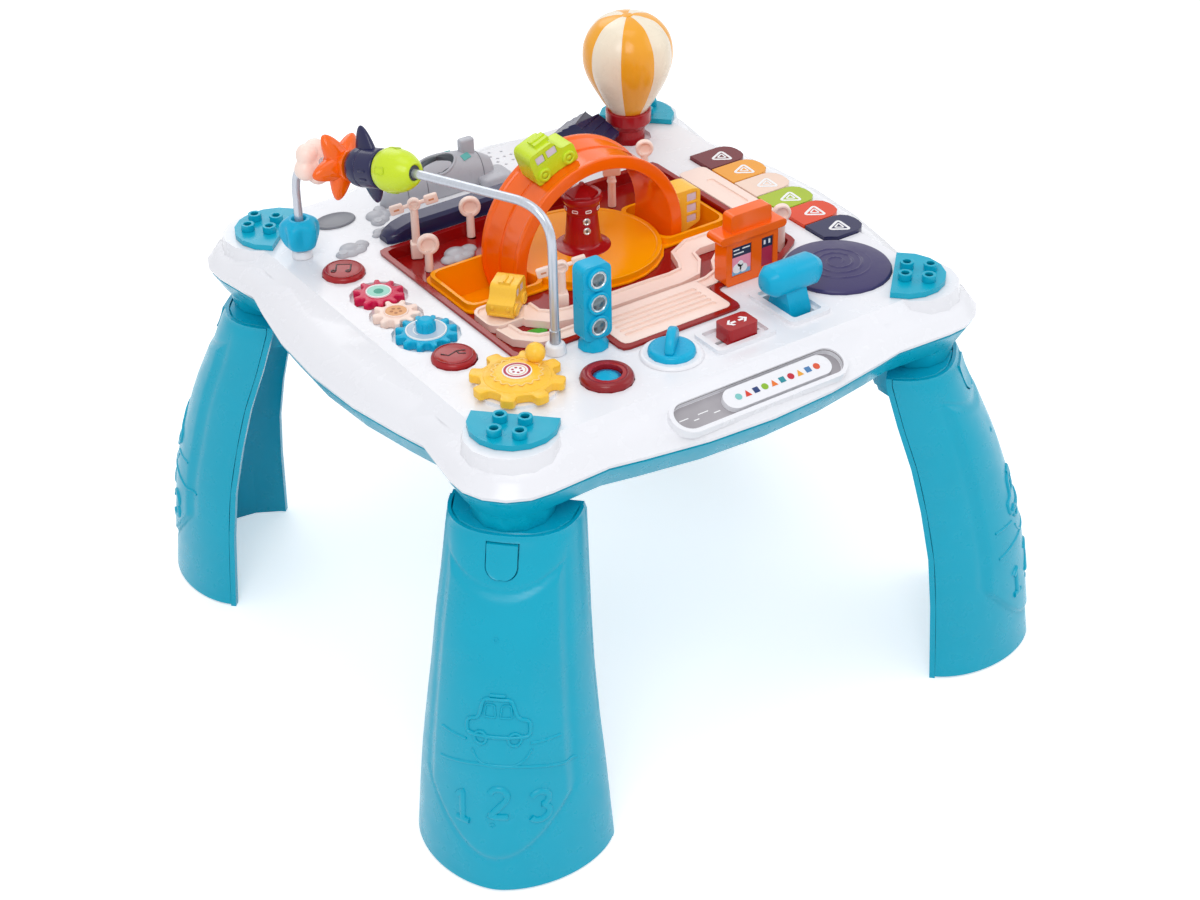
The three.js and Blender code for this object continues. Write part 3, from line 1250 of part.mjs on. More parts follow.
// Car body along X on Z zero, with wheels, windows and a curved or flat underside.
function carBody(car) {
  const { length, width, height } = car;
  const f = carForm;
  const half = length / 2;
  const hood = half - length * car.bonnetLongShare;
  const line = plan([
    [-half, -car.under], [half, -car.under], [half, height * car.bonnetShare],
    [hood, height * (car.bonnetShare + f.hoodShare)], [hood - length * f.screenShare, height],
    [-half + length * f.tailShare, height], [-half, height * f.tailTopShare],
  ]);
  const body = upright(softShape(line, car.round), -width / 2, width);
  const wheels = [-1, 1].map((k) => {
    const disc = new THREE.CylinderGeometry(car.wheel, car.wheel, width + 2 * f.wheelProud, f.wheelSegments);
    return disc.translate(k * length * f.axleShare, 0, car.wheel - car.under / 2);
  });
  const panes = car.paneShares.flatMap(([from, to]) => [-1, 1].map((sign) => {
    const [low, high] = [height * car.paneLowShare, height * car.paneHighShare];
    const pane = block(from * length, to * length, -width / 2, width / 2, low, high);
    return pane.translate(0, sign * (width - f.paneDeep), 0);
  }));
  const rackHalf = width * f.rackHalfShare;
  const rack = block(
    -length * f.rackBackShare, length * f.rackFrontShare, -rackHalf, rackHalf, height - bite, height + car.rack,
  );
  return cut(join(body, ...wheels, rack), ...panes);
}

// Puts a car onto the arch at an angle, its underside and a tongue following the ring.
function onArch(car) {
  const barrel = (r) => new THREE.CylinderGeometry(r, r, car.width * 2, turntable.segments * 2);
  const seat = arch.channel + gap;
  const body = cut(carBody(car).translate(0, 0, seat), barrel(seat));
  const tongueHalf = arch.grooveHalf - gap;
  const tongueLong = car.length * carForm.tongueShare;
  const tongue = block(-tongueLong, tongueLong, -tongueHalf, tongueHalf, arch.groove - bite, seat + car.wheel);
  const whole = join(body, cut(tongue, barrel(arch.groove + gap)));
  return whole.rotateY(radians(90 - car.turnAngle)).translate(arena.x, (arch.front + arch.back) / 2, arch.z);
}

function taxiShape() {
  const turn = radians(taxi.headingAngle);
  return carBody(taxi).rotateZ(turn).translate(taxi.x, taxi.y, road.top + gap + taxi.under);
}

function sunkRibbon(line, half) {
  return {
    outer: prism(ribbon(line, half, road.steps), road.base, road.top),
    inner: prism(ribbon(line, half - road.edge, road.steps), road.top - road.sunk, road.top + bite),
  };
}

function backRoad() {
  const lane = sunkRibbon(backRoadLine, road.half);
  const [p, b, s, e] = [roadPad, bridge, strip, road.edge];
  const slotRound = (s.slotRight - s.slotLeft) / 2 - weld;
  const padFloor = roundedRect(p.left + e, p.right - e, p.front + e, p.back - e, p.round - e);
  return cut(
    join(
      lane.outer,
      prism(roundedRect(p.left, p.right, p.front, p.back, p.round), road.base, road.top),
      block(b.left, b.wall, b.front, b.back, b.low, s.top),
      block(b.left, b.right, b.front, b.back, b.deckLow, s.top),
      prism(roundedRect(s.left, s.right, s.front, s.back, s.round), s.base, s.top),
    ),
    cut(lane.inner, block(b.left - e, b.right, b.front - bite, b.back + bite, road.base, s.top + bite)),
    prism(padFloor, road.top - road.sunk, road.top + bite),
    prism(roundedRect(s.slotLeft, s.slotRight, s.slotFront, s.slotBack, slotRound), s.top - s.slotSunk, s.top + bite),
  );
}

function frontRoad() {
  const lane = sunkRibbon(frontRoadLine, road.frontHalf);
  const g = grate;
  const pitch = (g.back - g.front - 2 * g.margin) / g.bars;
  const bars = Array.from({ length: g.bars }, (_, k) => {
    const low = g.front + g.margin + pitch * k + (pitch - g.barWide) / 2;
    const line = roundedRect(g.left + g.margin, g.right - g.margin, low, low + g.barWide, g.barWide / 2 - weld);
    return prism(line, g.top - g.barSunk, g.top + bite);
  });
  const slab = prism(roundedRect(g.left, g.right, g.front, g.back, g.round), road.base, g.top);
  return cut(join(cut(lane.outer, lane.inner), slab), ...bars);
}

// Peach posts on one hidden frame, each with its own head.
function signHead(sign) {
  const f = signFrame;
  const face = (geometry) => geometry.rotateZ(radians(f.faceAngle)).translate(sign.x, sign.y, sign.z);
  const round = (radius) => new THREE.CylinderGeometry(radius, radius, f.discThick, f.discSides);
  if (sign.kind === "disc") return face(cut(round(f.disc), round(f.cup).translate(0, f.cupDeep - f.discThick, 0)));
  const sheet = (left, right, low, high) => block(left, right, -f.armThick / 2, f.armThick / 2, low, high);
  if (sign.kind === "plate") return face(sheet(-f.disc, f.disc, -f.disc / 2, f.disc));
  const [barHalf, bladeHalf] = [f.armHalf * f.barShare, f.armReach * f.bladeShare];
  const blades = [-1, 1].map((k) => sheet(-bladeHalf, bladeHalf, -f.armHalf, f.armHalf)
    .translate(k * f.armReach * f.bladeSpotShare, 0, 0));
  const bar = sheet(-f.armReach, f.armReach, -barHalf, barHalf);
  return face(join(round(f.cup), bar, ...blades).rotateY(radians(f.bladeAngle)));
}

function signPosts() {
  const f = signFrame;
  const bars = frameRoute.slice(1).map((to, k) => {
    const from = frameRoute[k];
    const line = new THREE.Vector2(to[0] - from[0], to[1] - from[1]);
    const bar = block(-f.barHalf, line.length() + f.barHalf, -f.barHalf, f.barHalf, f.z, f.top);
    return place(bar, from[0], from[1], 0, THREE.MathUtils.radToDeg(line.angle()));
  });
  const posts = signs.map((s) => place(cylinder(f.post, f.z, s.z, f.segments), s.x, s.y));
  return join(...bars, ...posts, ...signs.map(signHead));
}

// Front edge pieces.
function trafficLight() {
  const l = light;
  const half = l.width / 2;
  const front = -l.depth / 2;
  const body = upright(roundedRect(-half, half, l.bottom, l.top, l.round), front, l.depth);
  const middle = (l.bottom + l.top) / 2;
  const spots = Array.from({ length: l.count }, (_, k) => middle + (k - (l.count - 1) / 2) * l.pitch);
  const drumOf = (radius, from, depth, z) => new THREE.CylinderGeometry(radius, radius, depth, l.segments)
    .translate(0, from + depth / 2, z);
  const collars = spots.map((z) => drumOf(l.lens + l.lensEdge, front - l.lensRaise, l.lensRaise + bite, z));
  const cups = spots.map((z) => drumOf(l.lens, front - l.lensRaise - bite, bite + 2 * l.lensRaise, z));
  const foot = turned([
    [0, seatZ], [l.base, seatZ], [l.base, seatZ + l.baseHigh], [l.neck, seatZ + l.neckHigh], [l.neck, l.bottom + bite],
    [0, l.bottom + bite],
  ], l.segments);
  return place(cut(join(body, foot, ...collars), ...cups), l.x, l.y);
}

function targetRing() {
  const well = cylinder(target.ring, target.dishTop - target.wellDeep, deck.top + 2 * target.dome, button.segments);
  return cut(cap(target), well).translate(target.x, target.y, 0);
}

function targetEye() {
  const low = target.dishTop - target.wellDeep + gap;
  const eye = turned([
    [0, low], [target.ring - fit, low], [target.ring - fit, target.dishTop], [target.ring / 2, target.dishTop + bite],
    [0, target.dishTop + bite],
  ], button.segments);
  return place(eye, target.x, target.y);
}

function rotaryKnob() {
  const r = rotary;
  const rim = r.discTop - bite;
  const line = [[0, seatZ], [r.disc, seatZ], [r.disc, rim], [r.disc - bite, r.discTop], [0, r.discTop]];
  const disc = turned(line, r.segments);
  const half = arcPoints(0, 0, r.fin, 0, 180, r.segments / 2);
  const fin = upright(half, -r.finThick / 2, r.finThick)
    .scale(1, 1, (r.finTop - r.discTop) / r.fin).translate(0, 0, r.discTop - bite / 2);
  const bore = cylinder(r.pin + fit, seatZ - bite, r.discTop - r.pinShort + fit, r.segments / 2);
  return place(cut(join(disc, fin), bore), r.x, r.y, 0, r.turnAngle);
}

function sliderCube() {
  const c = cube;
  const line = roundedRect(-c.length / 2, c.length / 2, -c.width / 2, c.width / 2, c.round);
  const body = prism(line, c.base, c.top, roundSegments);
  const stem = block(-c.stemLong / 2, c.stemLong / 2, -c.stemHalf, c.stemHalf, c.footLow, c.base + bite);
  const foot = block(-c.stemLong / 2, c.stemLong / 2, -c.foot, c.foot, c.footLow, c.footTop);
  return place(join(body, stem, foot), c.x, c.y);
}

function shiftLever() {
  const l = lever;
  const head = new THREE.CapsuleGeometry(l.head, l.headLength - 2 * l.head, l.headSegments, l.segments);
  const line = [
    [-l.stemFoot, l.pivotZ - l.stemFoot], [l.stemFoot, l.pivotZ - l.stemFoot], [l.stemDeep, deck.top + bite],
    [l.stemNeck, l.neckZ], [l.stemNeck, l.z], [-l.stemNeck, l.z], [-l.stemNeck, l.neckZ], [-l.stemDeep, deck.top + bite],
  ];
  const stem = upright(line, -l.stemHalf, 2 * l.stemHalf).rotateZ(quarter);
  const pin = new THREE.CylinderGeometry(l.axle, l.axle, 2 * (l.stemHalf + l.axleOver), l.segments);
  const axle = pin.rotateZ(quarter).translate(0, 0, l.pivotZ);
  head.rotateZ(quarter).translate(0, 0, l.z);
  return place(join(head, stem, axle), l.x, l.y);
}

function stationShape() {
  const t = station;
  const half = t.width / 2;
  const slab = (reach, low, high, round, depth) => {
    const line = roundedRect(-reach, reach, low, high, round);
    return upright(line, -depth / 2, depth).translate(t.x, t.y, 0);
  };
  const solid = join(
    slab(half, t.base, t.eave + bite, t.round, t.depth),
    slab(half + t.eaveOver, t.eave, t.eave + t.eaveHigh, t.round - weld, t.depth + t.round),
    slab(t.roofWidth / 2, t.eave + bite, t.roofTop, t.round, t.roofDepth),
  );
  const pane = (left, right) => [-1, 1].map((side) => {
    const y = t.y + (side * t.depth) / 2;
    return block(t.x + left, t.x + right, y - t.windowDeep, y + t.windowDeep, t.paneLow, t.paneHigh);
  });
  const overLip = prism(townOutline(town.lip + gap), town.under, town.lipTop + gap);
  return cut(solid, overLip, ...pane(t.paneALeft, t.paneARight), ...pane(t.paneBLeft, t.paneBRight));
}

function nameSlider() {
  const n = nameSlot;
  const low = -n.deep + gap;
  const bar = prism(pill(n.sliderLength, n.sliderWidth), low, low + n.sliderThick, n.segments);
  return tilted(bar.translate(n.sliderX, 0, 0));
}

function pianoKey(index) {
  const k = keys;
  const middle = k.first - index * k.pitch;
  const half = k.width / 2;
  const body = keySolid(index, 0, k.low, k.top);
  const front = index === keyNames.length - 1 ? middle : middle - half + k.flange;
  const back = middle + half - k.flange;
  const flange = block(k.inner - k.flange, k.inner + k.flange, front, back, k.low, k.low + k.flangeThick);
  return join(body, flange);
}

// Back edge pieces.
function balloonPot() {
  const p = pot;
  return place(turned([
    [0, p.floor + gap], [p.foot, p.floor + gap], [p.waist, p.rimLow - p.flare], [p.rim - bite, p.rimLow],
    [p.rim, p.rimLow + bite], [p.rim, p.top], [p.bore, p.top], [p.bore, p.boreFloor], [0, p.boreFloor],
  ], p.segments), p.x, p.y);
}

function balloonShape() {
  const b = balloon;
  const bulb = b.rowShares.map(([wide, rise]) => [b.radius * wide, b.neckTop + b.high * rise]);
  const rows = [[b.neck, b.low], [b.neck, b.neckTop], ...bulb];
  const loops = rows.map(([r, z], k) => lobedLoop(r, z, b.gores, k < 2 ? 0 : b.goreShare, b.segments));
  return skin(loops).translate(pot.x, pot.y, 0);
}

function shuttleShape() {
  const s = shuttle;
  const count = s.segments;
  const loop = (x, share) => Array.from({ length: count + 1 }, (_, k) => {
    const angle = (Math.PI * k) / count;
    const rise = s.high * share ** s.liftShare * Math.sin(angle) ** s.bulgeShare;
    return new THREE.Vector3(x, s.y + s.radius * share * Math.cos(angle), s.base + rise);
  });
  const long = s.tail - s.nose;
  const hull = skin(s.sectionShares.map(([share, wide]) => loop(s.nose + long * share, wide)));
  const slab = (left, right, front, back, high) => {
    const line = roundedRect(left, right, front, back, (back - front) / 2 - weld);
    return prism(line, s.base, s.base + high, roundSegments);
  };
  const [finLong, finWide] = [s.finLong / 2, s.finWide / 2];
  const fin = slab(s.finX - finLong, s.finX + finLong, s.y - finWide, s.y + finWide, s.finHigh);
  const wing = slab(s.wingLeft, s.wingRight, s.wingFront, s.y, s.wingHigh);
  const cockpit = new THREE.SphereGeometry(1, count, count / 2)
    .scale(s.cockpitLong, s.cockpitWide, s.cockpitDeep)
    .translate(s.cockpitX, s.y - s.cockpitSide, s.base + s.high);
  return cut(join(hull, fin, wing), cockpit);
}

function navyBarShape() {
  const n = navyBar;
  const rows = [...n.rows, { ...n.rows[n.rows.length - 1], run: n.right - n.left }];
  const loops = rows.map((row) => {
    const [x, top, b] = [n.left + row.run, n.base + n.high * row.highShare, n.bevel];
    const [front, back] = [n.front + row.inset, n.back - row.inset];
    return [
      [front, n.base], [back, n.base], [back, top - b], [back - b, top], [front + b, top], [front, top - b],
    ].map(([y, z]) => new THREE.Vector3(x, y, z));
  });
  return skin(loops);
}

function tiledHouse() {
  const h = house;
  const slope = (side) => {
    const steps = [];
    for (let k = 0; k < h.tiles; k += 1) {
      const far = h.half * (1 - k / h.tiles);
      const near = h.half * (1 - (k + 1) / h.tiles);
      const zFar = h.eave + ((h.ridge - h.eave) * k) / h.tiles;
      const zNear = h.eave + ((h.ridge - h.eave) * (k + 1)) / h.tiles;
      steps.push([side * far, zFar], [side * near, zNear - h.step]);
    }
    return steps;
  };
  const line = [
    [-h.wallHalf, h.base], [h.wallHalf, h.base], [h.wallHalf, h.eave - h.thick], [h.half, h.eave - h.thick],
    ...slope(1), [0, h.ridge], ...slope(-1).reverse(), [-h.half, h.eave - h.thick], [-h.wallHalf, h.eave - h.thick],
  ];
  const body = upright(line, -h.length / 2, h.length).rotateZ(quarter);
  return place(outward(body), h.x, h.y, 0, h.turnAngle);
}

// Pieces inside and under the table.
function batteryDoor() {
  const d = door;
  const panel = block(
    d.x - d.length / 2 + fit, d.x + d.length / 2 - fit, d.y - d.width / 2 + fit, d.y + d.width / 2 - fit,
    tray.base, tray.base + d.thick - gap,
  );
  const ridges = Array.from({ length: d.ridges }, (_, k) => {
    const y = d.y - d.width / 2 + d.ridge + k * d.ridgePitch;
    return block(d.x - d.ridge, d.x + d.ridge, y, y + d.ridgeWide, tray.base - d.ridgeDeep, tray.base + bite);
  });
  return join(panel, ...ridges);
}

function circuitBoard() {
  const b = board;
  const low = tray.floor + boardPost.high + gap;
  const top = low + b.thick;
  const line = roundedRect(-b.length / 2, b.length / 2, -b.width / 2, b.width / 2, b.thick);
  const sheet = prism(line, low, top);
  const chip = block(-b.chip / 2, b.chip / 2, -b.chip / 2, b.chip / 2, top - bite, top + b.chipHigh);
  const can = cylinder(b.can, top - bite, top + b.canHigh, boardPost.segments);
  return place(join(sheet, chip, place(can, b.length * b.canLongShare, b.width * b.canWideShare)), b.x, b.y);
}

function speakerShape() {
  const s = speaker;
  const neckZ = s.base + s.magnetHigh;
  const top = s.base + s.high;
  return place(turned([
    [0, s.base], [s.magnet, s.base], [s.magnet, neckZ], [s.neck, neckZ], [s.radius - bite, top - bite],
    [s.radius, top - bite], [s.radius, top], [s.radius - 2 * bite, top], [0, top - s.magnetHigh / 2],
  ], s.segments), s.x, s.y);
}

// Paints: colour, roughness and metalness per moulding.
const paint = {
  white: ["#f3f3f5", 0.35, 0], blue: ["#1f9ab8", 0.35, 0], sky: ["#35b3cf", 0.3, 0], red: ["#7d1420", 0.25, 0],
  town: ["#6a1216", 0.25, 0], pink: ["#d8164f", 0.3, 0], peach: ["#f3cdb9", 0.35, 0], amber: ["#f7a21b", 0.3, 0],
  yellow: ["#f2b53c", 0.3, 0], orange: ["#f1641e", 0.25, 0], lime: ["#c4d92b", 0.3, 0], navy: ["#262650", 0.25, 0],
  plum: ["#3d3563", 0.3, 0], grey: ["#b9b9bd", 0.4, 0], wire: ["#c3c9d2", 0.35, 0.1], green: ["#1d6b3a", 0.5, 0],
  black: ["#2a2a2c", 0.6, 0.1],
};

function piece(name, geometry, tone) {
  const [color, roughness, metalness] = paint[tone];
  const mesh = new THREE.Mesh(geometry, new THREE.MeshStandardMaterial({ color, roughness, metalness }));
  mesh.name = name;
  return mesh;
}

const table = new THREE.Group();
const { body: legBody, latch: legLatch } = legAndLatch();
const sides = [["front", 225], ["left", 135], ["right", -45], ["back", 45]];
for (const [side, turn] of sides) {
  table.add(piece(`leg_${side}`, place(legBody, 0, 0, 0, turn), "blue"));
  table.add(piece(`latch_${side}`, place(legLatch, 0, 0, 0, turn), "blue"));
  table.add(piece(`stud_plate_${side}`, place(studPlate(), 0, 0, 0, turn), "blue"));
}
const phases = gearPhases();
const gears = gearCentres();
table.add(
  piece("top_deck", topDeck(), "white"),
  piece("lower_housing", lowerHousing(), "blue"),
  piece("wire_arch", wireArch(), "wire"),
  piece("bead_blue", blueBeadShape(), "sky"),
  piece("bead_cloud", cloudBeadShape(), "peach"),
  piece("rocket_flame", flameBeadShape(), "orange"),
  piece("rocket_body", bodyBeadShape(), "navy"),
  piece("rocket_nose", noseBeadShape(), "lime"),
  piece("music_button_left", cap(button).translate(musicLeft.x, musicLeft.y, 0), "red"),
  piece("music_button_right", cap(button).translate(musicRight.x, musicRight.y, 0), "red"),
  piece("gear_pink", smallGear(gears.pink, phases.pink), "pink"),
  piece("gear_cream", smallGear(gears.cream, phases.cream), "peach"),
  piece("gear_blue", smallGear(gears.blue, phases.blue), "sky"),
  piece("crank_gear", crankGear(), "yellow"),
  piece("town_tray", townTray(), "town"),
  piece("arena", arenaShape(), "amber"),
  piece("turntable", turntableShape(), "amber"),
  piece("tower", towerShape(), "red"),
  piece("arch_ring", archRing(), "orange"),
  piece("lime_car", onArch(limeCar), "lime"),
  piece("bus", onArch(bus), "yellow"),
  piece("taxi", taxiShape(), "yellow"),
  piece("road_back", backRoad(), "peach"),
  piece("road_front", frontRoad(), "peach"),
  piece("sign_posts", signPosts(), "peach"),
  piece("traffic_light", trafficLight(), "sky"),
  piece("target_ring", targetRing(), "red"),
  piece("target_eye", targetEye(), "sky"),
  piece("rotary_knob", rotaryKnob(), "sky"),
  piece("slider_cube", sliderCube(), "red"),
  piece("shift_lever", shiftLever(), "sky"),
  piece("station", stationShape(), "orange"),
  piece("drum_pad", cap(drum).translate(drum.x, drum.y, 0), "plum"),
  piece("name_slider", nameSlider(), "white"),
  piece("balloon_pot", balloonPot(), "red"),
  piece("balloon", balloonShape(), "amber"),
  piece("shuttle", shuttleShape(), "grey"),
  piece("navy_bar", navyBarShape(), "navy"),
  piece("tiled_house", tiledHouse(), "navy"),
  piece("battery_door", batteryDoor(), "white"),
  piece("circuit_board", circuitBoard(), "green"),
  piece("speaker", speakerShape(), "black"),
);
const keyTones = ["red", "yellow", "peach", "lime", "orange", "navy"];
keyNames.forEach((name, k) => table.add(piece(name, pianoKey(k), keyTones[k])));

export default table;
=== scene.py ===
import json
import math

import bmesh
import bpy
from mathutils import Matrix, Vector
from mathutils.bvhtree import BVHTree


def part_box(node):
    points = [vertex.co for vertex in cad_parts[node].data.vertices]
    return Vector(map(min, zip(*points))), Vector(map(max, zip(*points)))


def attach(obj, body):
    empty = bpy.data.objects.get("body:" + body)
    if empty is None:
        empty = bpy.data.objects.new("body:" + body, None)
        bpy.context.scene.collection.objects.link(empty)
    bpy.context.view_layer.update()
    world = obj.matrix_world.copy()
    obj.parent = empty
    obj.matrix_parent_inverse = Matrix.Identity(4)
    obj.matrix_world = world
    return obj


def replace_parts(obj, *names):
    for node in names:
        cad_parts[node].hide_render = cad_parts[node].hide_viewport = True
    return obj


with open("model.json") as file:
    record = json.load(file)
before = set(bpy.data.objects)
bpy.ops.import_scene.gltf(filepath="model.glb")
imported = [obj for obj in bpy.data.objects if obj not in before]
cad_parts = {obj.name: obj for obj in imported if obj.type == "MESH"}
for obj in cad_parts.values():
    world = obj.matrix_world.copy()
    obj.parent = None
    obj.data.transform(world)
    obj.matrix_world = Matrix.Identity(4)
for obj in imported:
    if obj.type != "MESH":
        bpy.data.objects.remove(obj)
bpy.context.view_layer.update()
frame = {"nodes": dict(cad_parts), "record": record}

# Sizes in millimetres, turned into metres where a mesh is made.
MM = 0.001
TURN = 2 * math.pi
DECK_TOP = 291.0
CAP_FOOT = 285.7

# Places of the pieces, and places along the wire from its near post.
ARENA = (10.0, 14.0)
ARCH_AXIS = 294
ARCH_RAIL = 68.9
BALLOON = (134.5, 135.5)
TARGET = (-79.5, -146)
ROTARY = (-29, -146.5)
CRANK = (-131, -121)
CRANK_KNOB = (-113.5, -115.5)
LEVER = (73, -140, 314)
DRUM = (130.5, -120)
LIGHT = (-63.5, -107, 326)
STATION = (73.5, -98)
ON_WIRE = {"cloud": 205, "flame": 179, "hull": 153, "nose": 126}

# Distance of a plate's stud centre from the table's middle, and half the stud pitch.
STUD_REACH, HALF_PITCH = 232.4, 8
CORNERS = {"front": 225, "left": 135, "right": -45, "back": 45}
KEYS = {"red": "#6f0f1e", "amber": "#f2a32c", "cream": "#f4d7c4", "lime": "#a9c11c", "orange": "#e2400f",
        "navy": "#23244f"}


# Colours and materials.
def linear(code):
    """Linear RGBA of a #rrggbb colour."""
    parts = [int(code[i:i + 2], 16) / 255 for i in (1, 3, 5)]
    return [c / 12.92 if c <= 0.04045 else ((c + 0.055) / 1.055) ** 2.4 for c in parts] + [1.0]


def shade(colour, factor):
    """Lighter or darker colour."""
    return [min(1.0, c * factor) for c in colour[:3]] + [1.0]


class Nodes:
    """Short hand for building one material's node tree."""

    def __init__(self, name):
        self.material = bpy.data.materials.new(name)
        self.material.use_nodes = True
        self.tree = self.material.node_tree
        self.shader = self.tree.nodes["Principled BSDF"]
        self.coords = self.add("ShaderNodeTexCoord")

    def add(self, kind, **values):
        node = self.tree.nodes.new(kind)
        for key, value in values.items():
            if key in node.inputs:
                node.inputs[key].default_value = value
            else:
                setattr(node, key, value)
        return node

    def put(self, values):
        """Sets plain inputs of the shader."""
        for key, value in values.items():
            self.shader.inputs[key].default_value = value

    def link(self, out, into):
        self.tree.links.new(out, into)

    def noise(self, scale, detail=2.0, rough=0.5):
        node = self.add("ShaderNodeTexNoise", Scale=scale, Detail=detail, Roughness=rough)
        self.link(self.coords.outputs["Object"], node.inputs["Vector"])
        return node.outputs["Fac"]

    def ramp(self, fac, stops):
        node = self.add("ShaderNodeValToRGB")
        element = node.color_ramp.elements
        while len(element) < len(stops):
            element.new(0.5)
        for spot, (at, colour) in zip(element, stops):
            spot.position = at
            spot.color = colour
        self.link(fac, node.inputs["Fac"])
        return node.outputs["Color"]

    def bump(self, height, strength, distance, normal=None):
        node = self.add("ShaderNodeBump", Strength=strength, Distance=distance)
        self.link(height, node.inputs["Height"])
        if normal is not None:
            self.link(normal, node.inputs["Normal"])
        return node.outputs["Normal"]

    def rounded(self, radius):
        node = self.add("ShaderNodeBevel", Radius=radius, samples=4)
        return node.outputs["Normal"]


def plastic(name, code, rough=0.26, edge=0.7, peel=0.12, mottle=0.03, coat=0.1, shine=0.35):
    """Moulded plastic: soft mottle, uneven gloss, orange peel and eased edges."""
    n = Nodes(name)
    base = linear(code)
    mix = n.ramp(n.noise(24.0, 3.0), [(0.3, shade(base, 1 - mottle)), (0.7, shade(base, 1 + mottle))])
    n.link(mix, n.shader.inputs["Base Color"])
    gloss = n.ramp(n.noise(90.0, 4.0), [(0.35, [rough * 0.85] * 3 + [1]), (0.7, [rough * 1.25] * 3 + [1])])
    n.link(gloss, n.shader.inputs["Roughness"])
    wavy = n.bump(n.noise(420.0, 2.0), peel, 0.0002, n.rounded(edge * MM) if edge else None)
    n.link(wavy, n.shader.inputs["Normal"])
    n.put({"Coat Weight": coat, "Coat Roughness": 0.12, "IOR": 1.48, "Specular IOR Level": shine})
    return n.material


def printed(name, code, rough=0.35):
    """Pad-printed ink: flat colour with a slightly broken edge of gloss."""
    return plastic(name, code, rough, 0.1, 0.05, 0.03, 0.0)


def metal(name, code, rough):
    """Drawn wire: long fine scratches over a soft reflection."""
    n = Nodes(name)
    base = linear(code)
    stretch = n.add("ShaderNodeMapping")
    stretch.inputs["Scale"].default_value = (900.0, 900.0, 60.0)
    n.link(n.coords.outputs["Object"], stretch.inputs["Vector"])
    lines = n.add("ShaderNodeTexNoise", Scale=1.0, Detail=3.0)
    n.link(stretch.outputs["Vector"], lines.inputs["Vector"])
    tint = n.ramp(lines.outputs["Fac"], [(0.3, shade(base, 0.9)), (0.7, shade(base, 1.05))])
    n.link(tint, n.shader.inputs["Base Color"])
    n.link(n.bump(lines.outputs["Fac"], 0.15, 0.0001), n.shader.inputs["Normal"])
    n.put({"Metallic": 0.55, "Roughness": rough})
    return n.material


paints = {
    "teal": plastic("teal_plastic", "#00a8c4", 0.3, 0.0, 0.08, 0.02, 0.05, 0.32),
    "white": plastic("white_plastic", "#eeeef1", 0.24, 0.0, 0.04, 0.006),
    "wire": metal("coated_wire", "#c6cbd4", 0.24),
    "sky": plastic("sky_plastic", "#0aaed6", 0.3, 0.5, 0.08, 0.02, 0.0, 0.25),
    "peach": plastic("peach_plastic", "#fde3d6", 0.34),
    "orange": plastic("orange_plastic", "#fa6706", 0.13, 0.8, 0.08, 0.02, 0.15),
    "navy": plastic("navy_plastic", "#22234c", 0.22),
    "lime": plastic("lime_plastic", "#cbe228", 0.26),
    "red": plastic("red_plastic", "#a5141c", 0.18, 0.7),
    "maroon": plastic("maroon_plastic", "#97100f", 0.12, 0.8, 0.08, 0.02, 0.1, 0.3),
    "pink": plastic("pink_plastic", "#cf124b", 0.24),
    "yellow": plastic("yellow_plastic", "#ffc63c", 0.26),
    "amber": plastic("amber_plastic", "#ffa200", 0.16, 0.6, 0.08, 0.02, 0.0, 0.2),
    "plum": plastic("plum_plastic", "#3a3361", 0.34, 0.5, 0.3),
    "grey": plastic("grey_plastic", "#b4b5bb", 0.3),
    "board": plastic("board_lacquer", "#1d6b3a", 0.5),
    "black": plastic("cone_paper", "#2b2b2d", 0.7, 0.2, 0.5, 0.12, 0.0),
    "cream": plastic("cream_plastic", "#f4e7cf", 0.26),
    "dark": plastic("dark_glass", "#3a4148", 0.12, 0.2),
    "ink_white": printed("ink_white", "#f3f3f3"),
    "ink_grey": printed("ink_grey", "#a8a9b0"),
    "steel": metal("sleeve_steel", "#b9bdc4", 0.18),
    "maroon_mark": plastic("red_mark", "#3d070d", 0.3, 0.1),
    "crank_line": plastic("crank_line", "#f7d07a", 0.35, 0.1),
    "balloon_yellow": plastic("balloon_yellow", "#f4a929", 0.2),
    "red_bright": plastic("target_red", "#8e141c", 0.2),
    "target_blue": plastic("target_blue", "#1a6da3", 0.4),
    "lens": metal("lens_silver", "#6d7a80", 0.1),
    "lens_rim": metal("lens_rim", "#d3dadd", 0.2),
    # Darker copy of the peach plastic: painted shade for the slots in the sign blades.
    "peach_painted_shade": plastic("peach_painted_shade", "#d98f63", 0.4, 0.2),
    "car_pane": printed("car_pane", "#ddd3e0", 0.2),
    "slot_grey": plastic("slot_grey", "#a9a5a9", 0.2, 0.2, 0.1, 0.12),
    "slot_edge": printed("slot_edge", "#8a8384", 0.25),
    "patch": printed("patch_teal", "#5fb3ad"),
    "grey_dark": plastic("grey_dark", "#85868d", 0.4),
}
INKS = {
    "print_tan": "#e0a26a", "print_mint": "#9fdccb", "print_green": "#2e9d86", "print_brown": "#b5703d",
    "clear_disc": "#b7c9d8", "print_rose": "#b12a4a", "print_pink": "#f19bb4", "print_navy": "#23304e",
    "print_sky": "#7db8d8", "leaf": "#45a82c",
}
for name, code in INKS.items():
    paints[name] = printed(name, code)
for name, code in KEYS.items():
    paints["key_" + name] = plastic("key_plastic_" + name, code, 0.18, 0.9)


